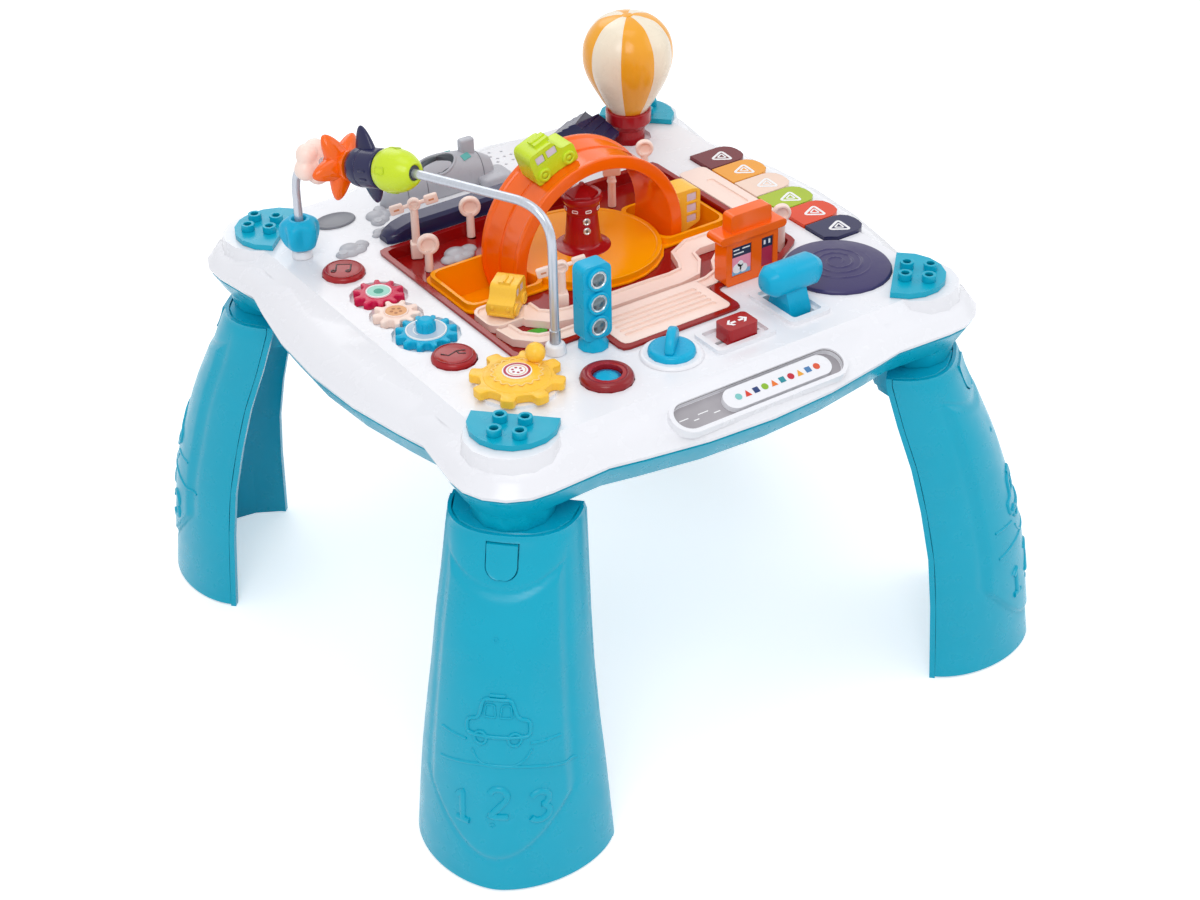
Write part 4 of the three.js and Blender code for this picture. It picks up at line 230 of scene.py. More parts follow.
def smooth_group(degrees):
    """Geometry nodes that weld a faceted mesh and soften every edge under an angle."""
    tree = bpy.data.node_groups.new("soft_edges", "GeometryNodeTree")
    tree.interface.new_socket("Geometry", in_out="INPUT", socket_type="NodeSocketGeometry")
    tree.interface.new_socket("Geometry", in_out="OUTPUT", socket_type="NodeSocketGeometry")
    start = tree.nodes.new("NodeGroupInput")
    bare = tree.nodes.new("GeometryNodeRemoveAttribute")
    bare.inputs["Name"].default_value = "custom_normal"
    weld = tree.nodes.new("GeometryNodeMergeByDistance")
    weld.inputs["Distance"].default_value = 0.00001
    soft = tree.nodes.new("GeometryNodeSetShadeSmooth")
    angle = tree.nodes.new("GeometryNodeInputMeshEdgeAngle")
    steep = tree.nodes.new("FunctionNodeCompare")
    steep.operation = "GREATER_THAN"
    steep.inputs["B"].default_value = math.radians(degrees)
    hard = tree.nodes.new("GeometryNodeSetShadeSmooth")
    hard.domain = "EDGE"
    hard.inputs["Shade Smooth"].default_value = False
    end = tree.nodes.new("NodeGroupOutput")
    chain = [start, bare, weld, soft, hard]
    for before, after in zip(chain, chain[1:]):
        tree.links.new(before.outputs["Geometry"], after.inputs["Geometry"])
    tree.links.new(angle.outputs["Unsigned Angle"], steep.inputs["A"])
    tree.links.new(steep.outputs["Result"], hard.inputs["Selection"])
    tree.links.new(hard.outputs["Geometry"], end.inputs[0])
    return tree


SOFT = smooth_group(38)


def soften(piece):
    """Gives a piece soft shading."""
    piece.modifiers.new("soft_edges", "NODES").node_group = SOFT
    return piece


def dress(node, paint):
    """Gives a CAD node its finish."""
    piece = frame["nodes"][node]
    piece.data.materials.clear()
    piece.data.materials.append(paints[paint])
    soften(piece)


for part in frame["record"]["subparts"]:
    dress(part["node"], part["material_slot"])


# Matrices and curves. All points are in millimetres.
def move(x, y, z):
    return Matrix.Translation((x, y, z))


def spin(degrees, axis="Z"):
    return Matrix.Rotation(math.radians(degrees), 4, axis)


def shift(x, y, z, turn=0):
    """Matrix of a place on the table, turned about the upright."""
    return move(x, y, z) @ spin(turn)


def facing(x, y, z, turn=0):
    """Matrix that stands a flat drawing upright, its front towards minus Y."""
    return shift(x, y, z, turn) @ spin(90, "X")


def lying(spot, normal):
    """Matrix of a drawing that lies on a surface."""
    return Matrix.Translation(spot) @ normal.to_track_quat("Z", "Y").to_matrix().to_4x4()


def turns(count):
    """Angles that share a full turn."""
    return [TURN * k / count for k in range(count)]


def swell(value, power):
    """Power that keeps the sign, to square off a round section."""
    return math.copysign(abs(value) ** power, value)


# Mesh helpers.
def add_object(name, data):
    """Puts new data into the scene as an object."""
    piece = bpy.data.objects.new(name, data)
    bpy.context.scene.collection.objects.link(piece)
    return piece


def make(name, points, faces, paint, body, matrix=None, soft=True):
    """One mesh piece that rides on a CAD body."""
    mesh = bpy.data.meshes.new(name)
    turn = matrix or Matrix.Identity(4)
    mesh.from_pydata([(turn @ Vector(p)) * MM for p in points], [], faces)
    form = bmesh.new()
    form.from_mesh(mesh)
    bmesh.ops.recalc_face_normals(form, faces=form.faces)
    form.to_mesh(mesh)
    form.free()
    mesh.materials.append(paints[paint])
    piece = add_object(name, mesh)
    if soft:
        soften(piece)
    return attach(piece, body) or piece


def stack(loops, ring=False):
    """Points and faces of a skin through loops of equal length."""
    count = len(loops[0])
    points = [tuple(p) for loop in loops for p in loop]
    faces = []
    pairs = list(zip(range(len(loops)), range(1, len(loops)))) + ([(len(loops) - 1, 0)] if ring else [])
    for a, b in pairs:
        for i in range(count):
            j = (i + 1) % count
            faces.append((a * count + i, a * count + j, b * count + j, b * count + i))
    if not ring:
        faces.append(tuple(range(count)))
        faces.append(tuple(range((len(loops) - 1) * count, len(loops) * count)))
    return points, faces


def skin(name, loops, paint, body, matrix=None, ring=False, soft=True):
    """Mesh piece through loops of equal length."""
    points, faces = stack(loops, ring)
    return make(name, points, faces, paint, body, matrix, soft)


def fillet(line, radius, steps=4, closed=False):
    """Rounds the corners of a line of points."""
    line = [Vector(p) for p in line]
    out = []
    for i, p in enumerate(line):
        if not closed and i in (0, len(line) - 1):
            out.append(p)
            continue
        a, b = line[i - 1], line[(i + 1) % len(line)]
        cut_a = min(radius, (a - p).length * 0.48)
        cut_b = min(radius, (b - p).length * 0.48)
        start = p + (a - p).normalized() * cut_a
        end = p + (b - p).normalized() * cut_b
        for k in range(steps + 1):
            t = k / steps
            out.append(start * (1 - t) ** 2 + p * 2 * t * (1 - t) + end * t ** 2)
    return out


def oblong(x, y, radius, steps):
    """Rectangle of two half widths with rounded corners."""
    return fillet([(-x, -y), (x, -y), (x, y), (-x, y)], radius, steps, closed=True)


def arc(x, y, radius, start, end, steps):
    """Points of an arc between two angles in degrees."""
    angles = [math.radians(start + (end - start) * k / steps) for k in range(steps + 1)]
    return [(x + radius * math.cos(a), y + radius * math.sin(a)) for a in angles]


def smooth_line(points, steps):
    """Smooth curve through points, with a few steps per span."""
    points = [Vector(p) for p in points]
    out = []
    for i in range(len(points) - 1):
        p0 = points[max(i - 1, 0)]
        p1, p2 = points[i], points[i + 1]
        p3 = points[min(i + 2, len(points) - 1)]
        for k in range(steps):
            t = k / steps
            out.append(0.5 * (2 * p1 + (p2 - p0) * t + (2 * p0 - 5 * p1 + 4 * p2 - p3) * t ** 2
                              + (3 * p1 - p0 - 3 * p2 + p3) * t ** 3))
    return out + [points[-1]]


def lathe(name, profile, paint, body, centre=(0, 0), steps=72, round_by=0.0, matrix=None):
    """Turned piece about Z from (radius, height) points."""
    line = fillet(profile, round_by) if round_by else [Vector(p) for p in profile]
    line = [(max(p[0], 0.01), p[1]) for p in line]
    loops = [[(r * math.cos(a), r * math.sin(a), z) for a in turns(steps)] for r, z in line]
    return skin(name, loops, paint, body, move(*centre, 0) @ (matrix or Matrix.Identity(4)))


def puck(name, radius, low, high, paint, body, spot=(0, 0), steps=32, matrix=None):
    """Flat round disc between two heights."""
    return lathe(name, [(0, low), (radius, low), (radius, high), (0, high)], paint, body, spot, steps,
                 matrix=matrix)


def slab(name, outline, low, high, paint, body, edge=0.6, matrix=None):
    """Flat piece over an outline, with softly bevelled edges."""
    loops = [[(p[0], p[1], z) for p in outline] for z in (low, high)]
    piece = skin(name, loops, paint, body, matrix, soft=False)
    if edge:
        bevel = piece.modifiers.new("edge", "BEVEL")
        bevel.width = edge * MM
        bevel.segments = 3
        bevel.limit_method = "ANGLE"
        bevel.angle_limit = math.radians(50)
    return soften(piece)


def rounded_box(name, size, radius, paint, body, matrix):
    """Box with rounded edges, centred on the matrix."""
    x, y, z = (v / 2 for v in size)
    return slab(name, oblong(x, y, radius, 6), -z, z, paint, body, radius * 0.6, matrix)


def tube(name, line, radius, paint, body, sides=20, flat=1.0, up=None, matrix=None, ring=False):
    """Round or flattened bar along a line of points."""
    line = [Vector(p) for p in line]
    count = len(line)
    loops = []
    side = None
    for i, p in enumerate(line):
        before = line[i - 1] if (ring or i) else p
        after = line[(i + 1) % count] if (ring or i < count - 1) else p
        along = (after - before).normalized()
        if up is not None:
            normal = up[i] if isinstance(up, list) else Vector(up)
            side = along.cross(normal).normalized()
        elif side is None:
            side = along.orthogonal().normalized()
        else:
            side = (side - along * side.dot(along)).normalized()
        third = side.cross(along).normalized()
        r = radius(i / max(count - 1, 1)) if callable(radius) else radius
        loops.append([p + side * r * math.cos(a) + third * r * flat * math.sin(a) for a in turns(sides)])
    return skin(name, loops, paint, body, matrix, ring)


def flat_ring(name, line, half, thick, paint, body, matrix=None):
    """Closed printed line, a little proud of what it lies on."""
    line = [Vector((p[0], p[1], 0)) for p in line]
    count = len(line)
    loops = []
    for i, p in enumerate(line):
        along = (line[(i + 1) % count] - line[i - 1]).normalized()
        side = Vector((-along.y, along.x, 0))
        rise = Vector((0, 0, thick))
        loops.append([p - side * half, p + side * half, p + side * half + rise, p - side * half + rise])
    return skin(name, loops, paint, body, matrix, ring=True)


# Legs: smooth bowed front with a sunk panel, the latch tab and the raised drawing.
LEG_TOP = 235.7
# Share of the height, then foot line, crest, half width and bow there.
LEG_ROWS = [(0, 263, 328.5, 66.4, 1.72), (0.255, 259.5, 320.5, 61.2, 1.8), (0.416, 255.5, 314.2, 56.8, 1.9),
            (0.573, 247.8, 302.8, 52.6, 2.05), (0.713, 239, 290.8, 49.6, 2.2),
            (0.849, 227.5, 276.2, 46.6, 2.35), (0.98, 217.8, 263, 44, 2.5),
            (1, 217.6, 259.4, 42.4, 2.5)]
# Lower edge, upper edge and half width of the latch window, and the radius of its round foot.
LATCH = (209.6, 231.8, 10.4)
LATCH_ROUND = 8
LEG_FOOT, LEG_SHELL, TAB_GAP, TAB_DEEP = 1.6, 2.4, 0.8, 4.0


def leg_section(z):
    """Foot line, crest, half width and bow of a leg at one height."""
    share = min(max(z / LEG_TOP, 0), 1)
    k = max(i for i in range(len(LEG_ROWS) - 1) if LEG_ROWS[i][0] <= share)
    before, a, b, after = (LEG_ROWS[min(max(k + d, 0), len(LEG_ROWS) - 1)] for d in (-1, 0, 1, 2))
    gap = b[0] - a[0]
    t = (share - a[0]) / gap
    out = []
    for i in range(1, 5):
        m = (b[i] - before[i]) / (b[0] - before[0]) * gap
        w = (after[i] - a[i]) / (after[0] - a[0]) * gap
        if k >= len(LEG_ROWS) - 3:
            m = w = b[i] - a[i]
        out.append((2 * t ** 3 - 3 * t * t + 1) * a[i] + (t ** 3 - 2 * t * t + t) * m
                   + (3 * t * t - 2 * t ** 3) * b[i] + (t ** 3 - t * t) * w)
    return out


def leg_point(z, a, off=0.0):
    """Point on the bowed front of a leg, set off outwards, in the corner's own frame."""
    inner, outer, half, bow = leg_section(z)
    start, wide, power = inner + 4, half - 2.2, 2 / bow

    def at(angle):
        s = max(math.sin(angle), 0)
        return Vector((start + (outer - start) * s ** power, wide * swell(math.cos(angle), power)))

    run = at(min(a + 0.01, math.pi)) - at(max(a - 0.01, 0))
    side = Vector((run.y, -run.x)).normalized()
    spot = at(a) + side * off
    return (spot.x, spot.y, z)


def crest_turn(z, t):
    """Angle on the leg's curve that lies a sideways step from its crest."""
    _, _, half, bow = leg_section(z)
    share = min(abs(t) / (half - 2.2), 1)
    return math.pi / 2 - math.copysign(math.asin(share ** (bow / 2)), t)


def sheet(rows, deep):
    """Closed shell between a grid of leg points and the same grid set back."""
    count, wide = len(rows), len(rows[0])
    points = [leg_point(z, a, off) for row in rows for z, a, off in row]
    points += [leg_point(z, a, off - deep) for row in rows for z, a, off in row]
    back = count * wide
    faces = []
    for i in range(count - 1):
        for k in range(wide - 1):
            one, two = i * wide + k, (i + 1) * wide + k
            faces.append((one, one + 1, two + 1, two))
            faces.append((back + one, back + two, back + two + 1, back + one + 1))
    edge = list(range(wide)) + [i * wide + wide - 1 for i in range(1, count)]
    edge += [(count - 1) * wide + k for k in range(wide - 2, -1, -1)]
    edge += [i * wide for i in range(count - 2, 0, -1)]
    for a, b in zip(edge, edge[1:] + edge[:1]):
        faces.append((a, b, back + b, back + a))
    return points, faces


def tab_half(z):
    """Half width of the latch window: a U with a round foot."""
    low, _, half = LATCH
    up = min(max(LATCH_ROUND - (z - low), 0), LATCH_ROUND)
    return half - LATCH_ROUND + math.sqrt(LATCH_ROUND ** 2 - up * up)


def panel_depth(z, t):
    """Sunk panel on the bowed front, with a raised soft rim round it."""
    top = 201 + (t / 32) ** 2 * 11
    foot = 25 + (t / 46) ** 2 * 44
    inside = min(35 + (208 - z) * 0.07 - abs(t), top - z, z - foot)
    share = min(max(inside / 4, 0), 1)
    return 1.5 * share * share * (3 - 2 * share) - 0.9 * math.exp(-((inside + 1.6) / 1.9) ** 2)


def leg_skin(side):
    """Smooth bowed front with a window for the latch, and the latch's tab."""
    turn = spin(CORNERS[side])
    low, high, _ = LATCH
    inner = [low + LATCH_ROUND * (1 - math.cos(math.pi / 2 * k / 12)) for k in range(13)]
    inner += [low + 14, high]
    levels = [LEG_FOOT + (low - LEG_FOOT) * k / 100 for k in range(100)] + inner + [LEG_TOP - 1.6,
        LEG_TOP - 0.2]
    ends = {"near": 0.004, "far": math.pi - 0.004}

    def row(z, start, end, steps):
        spots = [start + (end - start) * k / steps for k in range(steps + 1)]
        drop = 0.2 if z < LEG_TOP - 1 else -0.6
        return [(z, a, drop - panel_depth(z, leg_point(z, a)[1])) for a in spots]

    for name, edge in ends.items():
        sign = 1 if name == "near" else -1
        points, faces = sheet([row(z, edge, crest_turn(z, sign * tab_half(z)), 60) for z in levels],
                              LEG_SHELL)
        yield make(f"leg_front_{name}_{side}", points, faces, "teal", "table", turn)
    for name, rows in {"low": levels[:101], "top": levels[-3:]}.items():
        middle = [row(z, crest_turn(z, tab_half(z)), crest_turn(z, -tab_half(z)), 12) for z in rows]
        points, faces = sheet(middle, LEG_SHELL)
        yield make(f"leg_front_{name}_{side}", points, faces, "teal", "table", turn)
    tab = []
    for k in range(33):
        z = low + TAB_GAP + (high - low - 2 * TAB_GAP) * (1 - math.cos(math.pi / 2 * k / 32))
        reach = max(tab_half(z - TAB_GAP) - TAB_GAP, 0.3)
        bulge = 0.8 + 0.9 * math.sin(math.pi * (z - low) / (high - low))
        start, end = crest_turn(z, reach), crest_turn(z, -reach)
        tab.append([(z, start + (end - start) * i / 16, bulge - 0.5 * abs(i / 8 - 1) ** 3)
                    for i in range(17)])
    points, faces = sheet(tab, TAB_DEEP)
    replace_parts(make(f"latch_tab_{side}", points, faces, "teal", "latch_" + side, turn), "latch_" + side)


def leg_surface(side):
    """Finds points on the outside of a leg from a sideways place and a height."""
    points, faces = [], []
    for piece in leg_skin(side):
        start = len(points)
        points += [v.co.copy() for v in piece.data.vertices]
        faces += [[v + start for v in p.vertices] for p in piece.data.polygons]
    tree = BVHTree.FromPolygons(points, faces)
    angle = math.radians(CORNERS[side])
    out = Vector((math.cos(angle), math.sin(angle), 0))
    across = Vector((-out.y, out.x, 0))

    def at(t, z):
        start = (out * 420 + across * t + Vector((0, 0, z))) * MM
        spot, normal, _, _ = tree.ray_cast(start, -out)
        return spot / MM, normal

    return at


def relief(name, side, line, width, high, ring=False):
    """A raised line that follows the leg's surface."""
    at = leg_surfaces[side]
    dense = []
    pairs = list(zip(line, line[1:])) + ([(line[-1], line[0])] if ring else [])
    for a, b in pairs:
        a, b = Vector(a), Vector(b)
        steps = max(1, int((b - a).length / 1.5))
        dense += [a + (b - a) * k / steps for k in range(steps)]
    if not ring:
        dense.append(Vector(line[-1]))
    found = [at(p.x, p.y) for p in dense]
    count = len(found)

    def blended(i):
        """Normal at a point, averaged with its two neighbours on both sides."""
        near = [(i + d) % count if ring else min(max(i + d, 0), count - 1) for d in range(-2, 3)]
        return sum((found[k][1] for k in near), Vector()).normalized()

    blend = [blended(i) for i in range(count)]
    tube(name, [spot for spot, _ in found], width, "teal", "table", 10, 1.5 * high / width, blend,
         ring=ring)


DIGITS = {
    "1": [[(-4, 6), (0, 10.5), (0, -10.5)], [(-4.5, -10.5), (4.5, -10.5)]],
    "2": [arc(0, 4.8, 5.6, 160, -30, 9) + [(-5.8, -10.5), (6, -10.5)]],
    "3": [arc(-0.5, 5.2, 5.3, 150, -75, 9) + arc(-0.5, -5, 5.7, 75, -150, 10)],
}


def leg_drawing(side):
    """Hill, road, car and digits raised on a leg, and its two screw dots."""
    hill = smooth_line([(-37, 90), (-18, 95), (-2, 97), (24, 95), (48, 88)], 5)
    relief(f"leg_hill_{side}", side, hill, 1.1, 0.6)
    relief(f"leg_road_{side}", side, [(-36, 111), (-18, 111)], 1.0, 0.6)
    relief(f"leg_road_far_{side}", side, [(23, 111), (40, 111)], 1.0, 0.6)
    puddle = smooth_line([(-14, 106), (-8, 98), (6, 96), (18, 99), (24, 107)], 5)
    relief(f"leg_puddle_{side}", side, puddle, 0.9, 0.5)
    car = fillet([(-17.6, 116), (-17.6, 125), (-10, 127), (-7, 140), (11, 140), (15, 128), (22.6, 126),
                  (22.6, 116)], 3, 3, closed=True)
    relief(f"leg_car_{side}", side, car, 1.4, 1.0, ring=True)
    for k, (left, right) in enumerate(((-6.5, 1), (4, 11.5))):
        pane = fillet([(left, 128.5), (right, 128.5), (right - 0.8, 136.5), (left + 1.2, 136.5)], 1.2, 2,
                      closed=True)
        relief(f"leg_car_pane_{k}_{side}", side, pane, 0.8, 0.6, ring=True)
    relief(f"leg_car_rack_{side}", side, [(-3, 142.4), (7, 142.4)], 1.2, 0.9)
    for k, t in enumerate((-8.5, 13.5)):
        relief(f"leg_car_wheel_{k}_{side}", side, arc(t, 114.5, 4, 0, 330, 11), 1.2, 0.9, ring=True)
    for digit, (t, z) in zip(DIGITS, ((-21, 62), (3.5, 70), (29, 65))):
        for k, stroke in enumerate(DIGITS[digit]):
            relief(f"leg_digit_{digit}_{k}_{side}", side, [(t + a, z + b) for a, b in stroke], 2.3, 1.1)
    for k, z in enumerate((176, 52.5)):
        spot, normal = leg_surfaces[side](-0.7, z)
        dot = [(0, 0), (1.9, 0), (1.9, 0.7), (1.1, 0.7), (0.9, 0.2), (0, 0.2)]
        lathe(f"leg_screw_dot_{k}_{side}", dot, "teal", "table", steps=20,
              matrix=lying(spot - normal * 0.35, normal))


leg_surfaces = {side: leg_surface(side) for side in CORNERS}
for side in CORNERS:
    leg_drawing(side)


# Corner plates.
def plate_studs(side):
    """Smooth hollow studs round the CAD ones."""
    for k, (a, b) in enumerate(((-1, -1), (1, -1), (1, 1), (-1, 1))):
        turn = spin(CORNERS[side]) @ move(a * HALF_PITCH + STUD_REACH, b * HALF_PITCH, 0)
        outer = fillet([(2.82, 295.4), (4.78, 295.4), (4.78, 300.16), (2.82, 300.16), (2.82, 295.4)], 0.35)
        lathe(f"stud_{k}_{side}", outer, "teal", "table", steps=40, matrix=turn)


for side in CORNERS:
    plate_studs(side)


# Bead wire and its beads.
WIRE_NEAR = Vector((-88, -99.5))
WIRE_FAR = Vector((-159.3, 113.8))
# Heights of the wire at its near corner, its crook and both ends of its far bend.
WIRE_HIGH, WIRE_CROOK, WIRE_LOW, WIRE_CORNER = 393.5, 386.9, 371.5, 367
# Reach of a bend, place of the crook along the wire and reach of its soft part.
WIRE_BEND, CROOK_AT, CROOK_SOFT = 27, 118, 12


def bezier(a, b, c, steps=14):
    """Bend from a to c that leaves towards b."""
    return [a * (1 - t) ** 2 + b * 2 * t * (1 - t) + c * t * t for t in (k / steps for k in range(steps))]


def wire_line():
    """Points along the wire, from the foot of its near post to that of its far post."""
    span = WIRE_FAR - WIRE_NEAR
    total = span.length

    def at(along, z):
        p = WIRE_NEAR + span * (along / total)
        return Vector((p.x, p.y, z))

    def level(z0, z1, s0, s1, s):
        return z0 + (z1 - z0) * (s - s0) / (s1 - s0)

    far_from = total - WIRE_BEND
    first, last = CROOK_AT - CROOK_SOFT, CROOK_AT + CROOK_SOFT
    near_top, far_top = at(WIRE_BEND, WIRE_HIGH), at(far_from, WIRE_LOW)
    before = at(first, level(WIRE_HIGH, WIRE_CROOK, WIRE_BEND, CROOK_AT, first))
    after = at(last, level(WIRE_CROOK, WIRE_LOW, CROOK_AT, far_from, last))
    line = [at(0, 285 + k * 8) for k in range(11)]
    line += bezier(at(0, WIRE_HIGH - WIRE_BEND), at(0, WIRE_HIGH), near_top)
    line += [near_top.lerp(before, k / 6) for k in range(6)]
    line += bezier(before, at(CROOK_AT, WIRE_CROOK), after)
    line += [after.lerp(far_top, k / 8) for k in range(8)]
    line += bezier(far_top, at(total, WIRE_CORNER), at(total, WIRE_CORNER - WIRE_BEND))
    line += [at(total, WIRE_CORNER - WIRE_BEND - k * 6) for k in range(10)]
    return line


WIRE = wire_line()


def on_wire(along):
    """Matrix of a bead on the wire, its top towards the near post."""
    for a, b in zip(WIRE, WIRE[1:]):
        s0 = (a.xy - WIRE_NEAR).length
        s1 = (b.xy - WIRE_NEAR).length
        if s0 <= along < s1:
            spot = a.lerp(b, (along - s0) / (s1 - s0))
            towards = (a - b).normalized()
            turn = Vector((0, 0, 1)).rotation_difference(towards)
            return Matrix.Translation(spot) @ turn.to_matrix().to_4x4()


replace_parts(tube("wire_tube", WIRE, 3.05, "wire", "table", 24), "wire_arch")
lathe("wire_sleeve", [(3.1, 298), (3.7, 298.4), (3.7, 308), (3.1, 308.4)], "steel", "table", WIRE_NEAR, 32)
for name, spot, top in (("near", WIRE_NEAR, 298.4), ("far", WIRE_FAR, 297.4)):
    collar = [(3.1, 291), (7.4, 291.2), (6.6, top - 1.2), (5.2, top), (3.1, top)]
    lathe("wire_collar_" + name, collar, "white", "table", spot, 40, 0.8)


def lobed(rows, lobes, count=90):
    """Loops of (radius, height, share), each waved by that share of its radius."""
    loops = []
    for radius, z, share in rows:
        reach = [radius * (1 + share * math.cos(lobes * a)) for a in turns(count)]
        loops.append([(r * math.cos(a), r * math.sin(a), z) for r, a in zip(reach, turns(count))])
    return loops


def share_at(t):
    """Depth of the blue bead's waves along its length."""
    return max(0.0, math.sin(math.pi * min(max(t, 0), 1)))


def blue_bead():
    rows = [(4.6, 1.5, 0), (6.4, 0.2, 0.01)]
    line = smooth_line([(7, 0.2), (10.6, 2.2), (12.2, 7), (12.9, 14.2), (11.8, 19.6), (7.6, 23)], 5)
    rows += [(radius, z, share_at(z / 23) * 0.16) for radius, z in line]
    rows += [(5.4, 22.8, 0), (4.5, 21.5, 0)]
    return skin("bead_blue_body", lobed(rows, 5), "sky", "bead_blue", move(*WIRE_FAR, 298), ring=True)


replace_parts(blue_bead(), "bead_blue")


def melted(name, balls, paint, body, matrix, voxel=0.8, relax=6):
    """Smooth blob joined from balls given as (centre, radii)."""
    form = bmesh.new()
    for centre, radii in balls:
        scale = Matrix.Diagonal((*[r * MM for r in radii], 1))
        turn = matrix @ Matrix.Translation(centre)
        world = Matrix.Translation(turn.translation * MM) @ turn.to_3x3().to_4x4() @ scale
        bmesh.ops.create_icosphere(form, subdivisions=4, radius=1.0, matrix=world)
    mesh = bpy.data.meshes.new(name)
    form.to_mesh(mesh)
    form.free()
    mesh.materials.append(paints[paint])
    piece = add_object(name, mesh)
    remesh = piece.modifiers.new("join", "REMESH")
    remesh.mode = "VOXEL"
    remesh.voxel_size = voxel * MM
    relaxed = piece.modifiers.new("relax", "SMOOTH")
    relaxed.iterations = relax
    soften(piece)
    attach(piece, body)
    return piece


def cloud_bead():
    balls = [((0, 0, 0), (11, 11, 8.4))]
    for k, a in enumerate(turns(5)):
        balls.append(((8.2 * math.cos(a), 8.2 * math.sin(a), 1 if k % 2 == 0 else -1), (8, 8, 7.6)))
    return melted("bead_cloud_body", balls, "peach", "bead_cloud", on_wire(ON_WIRE["cloud"]))


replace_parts(cloud_bead(), "bead_cloud")


def petal(name, matrix, reach, root, deep, lean, paint, body):
    """Fat rounded petal of a rocket flame or fin, leaning back."""
    loops = []
    for k in range(15):
        t = math.sin(math.pi / 2 * k / 14)
        wide = root * (1 - t ** 2.6) ** 0.55 * (1 - 0.25 * t) + 0.3
        thick = deep / 2 * (1 - t ** 2.4) ** 0.55 * (1 - 0.3 * t) + 0.3
        loop = []
        for a in turns(24):
            high = thick * swell(math.sin(a), 0.9) - lean * t ** 1.6
            loop.append((reach * t, wide * swell(math.cos(a), 0.85), high))
        loops.append(loop)
    return skin(name, loops, paint, body, matrix)


def clock(matrix, degrees):
    """Turns a bead's frame so that its first axis points up, then clockwise as seen from its nose."""
    up = matrix.to_3x3().inverted() @ Vector((0, 0, 1))
    return matrix @ Matrix.Rotation(math.atan2(up.y, up.x) - math.radians(degrees), 4, "Z")


def rocket():
    flame = on_wire(ON_WIRE["flame"])
    core = [(4.6, -10.5), (8, -10.5), (8.6, 0), (11, 10.5), (4.6, 10.5)]
    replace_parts(lathe("flame_core", core, "orange", "rocket_flame", steps=48, round_by=1.4, matrix=flame),
                "rocket_flame")
    for k in range(5):
        petal(f"flame_fin_{k}", clock(flame, 54 + 72 * k), 24.4, 9, 15, 3, "orange", "rocket_flame")
    hull = on_wire(ON_WIRE["hull"])
    shell = [(4.6, -12.5), (11.6, -12.5), (13.2, -9.4), (13.6, -6), (13.6, -3.4), (13.2, -3), (13.2, -2.2),
             (13.6, -1.8), (13.6, 11), (12.7, 12.5), (4.6, 12.5)]
    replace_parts(lathe("rocket_hull", shell, "navy", "rocket_body", steps=64, round_by=0.8, matrix=hull),
                "rocket_body")
    for k in range(2):
        root = clock(hull, 10 + 160 * k) @ move(0, 0, -1)
        petal(f"rocket_fin_{k}", root, 27.8, 3.8, 21, 4, "navy", "rocket_body")
        for j in (-3, 3):
            vent = clock(hull, 90 + 180 * k) @ move(13.3, j, 5)
            rounded_box(f"rocket_vent_{k}_{j + 3}", (1.2, 1.6, 6), 0.5, "navy", "rocket_body", vent)
    nose = on_wire(ON_WIRE["nose"])
    line = smooth_line([(13.2, -13.5), (14.8, -9.2), (14.9, -4), (13.3, 4.6), (9.9, 10.8), (7.6, 13.4)], 5)
    cone = [(4.6, -13.5)] + line + [(6.2, 13.8), (5.2, 13), (4.9, 8)]
    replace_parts(lathe("rocket_cone", cone, "lime", "rocket_nose", steps=72, matrix=nose), "rocket_nose")
    # Dark sleeve inside the cone's bore: painted shade in the hole round the wire.
    lathe("rocket_cone_bore_shade", [(4.8, 9.5), (5.0, 9.5), (5.0, 12.8), (4.8, 12.8)], "dark", "rocket_nose",
          steps=32, matrix=nose)
    pane = oblong(2.2, 3.6, 1, 3)
    for k in range(4):
        turn = clock(nose, 90 * k + 20) @ move(14.75, 0, -5) @ spin(90, "Y")
        flat_ring(f"cone_pane_{k}", [(p[1], p[0]) for p in pane], 0.4, 0.35, "lime", "rocket_nose", turn)


rocket()


# Round press caps.
def cap_line(radius, dome, edge, crown, flange=1.4):
    low = CAP_FOOT
    rim, peak = DECK_TOP + edge, DECK_TOP + dome
    return [(0, low), (radius + flange, low), (radius + flange, low + 1.2), (radius, low + 1.2),
            (radius, rim), (radius - 1.2, rim + 1.6), (crown, peak - 0.4), (crown * 0.5, peak), (0, peak)]


def music_button(name, x, y, drawing):
    body = lathe(name + "_cap", cap_line(15, 4.2, 1.6, 11), "red", name, (x, y), 72, 1.2)
    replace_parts(body, name)
    flat_ring(name + "_rim", arc(0, 0, 12.6, 0, 356, 89), 0.35, 0.3, "red", name,
              shift(x, y, DECK_TOP + 3.5))
    for k, stroke in enumerate(drawing):
        tube(f"{name}_mark_{k}", [(a, b, 0) for a, b in stroke], 0.75, "maroon_mark", name, 10, 0.5,
             (0, 0, 1), shift(x, y, DECK_TOP + 4.15, -34))


NOTE = [[(-5, -4), (-5, 5), (5, 5), (5, -4)], arc(-6.4, -4.2, 1.3, 0, 350, 12),
        arc(3.6, -4.2, 1.3, 0, 350, 12)]
HORN = [[(-8, -1.5), (-3, -3.5), (2, 2.5), (7.5, 3.5)], [(2, 2.5), (3.5, -1), (8, -0.5)]]
music_button("music_button_left", -148, 75, NOTE)
music_button("music_button_right", -145.5, -67, HORN)


# Meshing gears with their printed discs.
# Centre, teeth, phase, radius of the rim, and the paints of wheel, rim and printed face.
GEARS = {
    "cream": (-147.8, 3, 9, 83, 8.4, "peach", "peach", "print_tan"),
    "pink": (-144.11, 33.049, 10, 281, 8.8, "pink", "ink_white", "print_mint"),
    "blue": (-144.306, -30.242, 12, 105.75, 13.8, "sky", "ink_white", "clear_disc"),
}
# Number, distance from the centre, radius and paint of the printed dots.
GEAR_DOTS = {"cream": (5, 3.2, 1.2, "print_brown"), "pink": (1, 0, 3.4, "print_green")}
GEAR_MODULE = 3.15


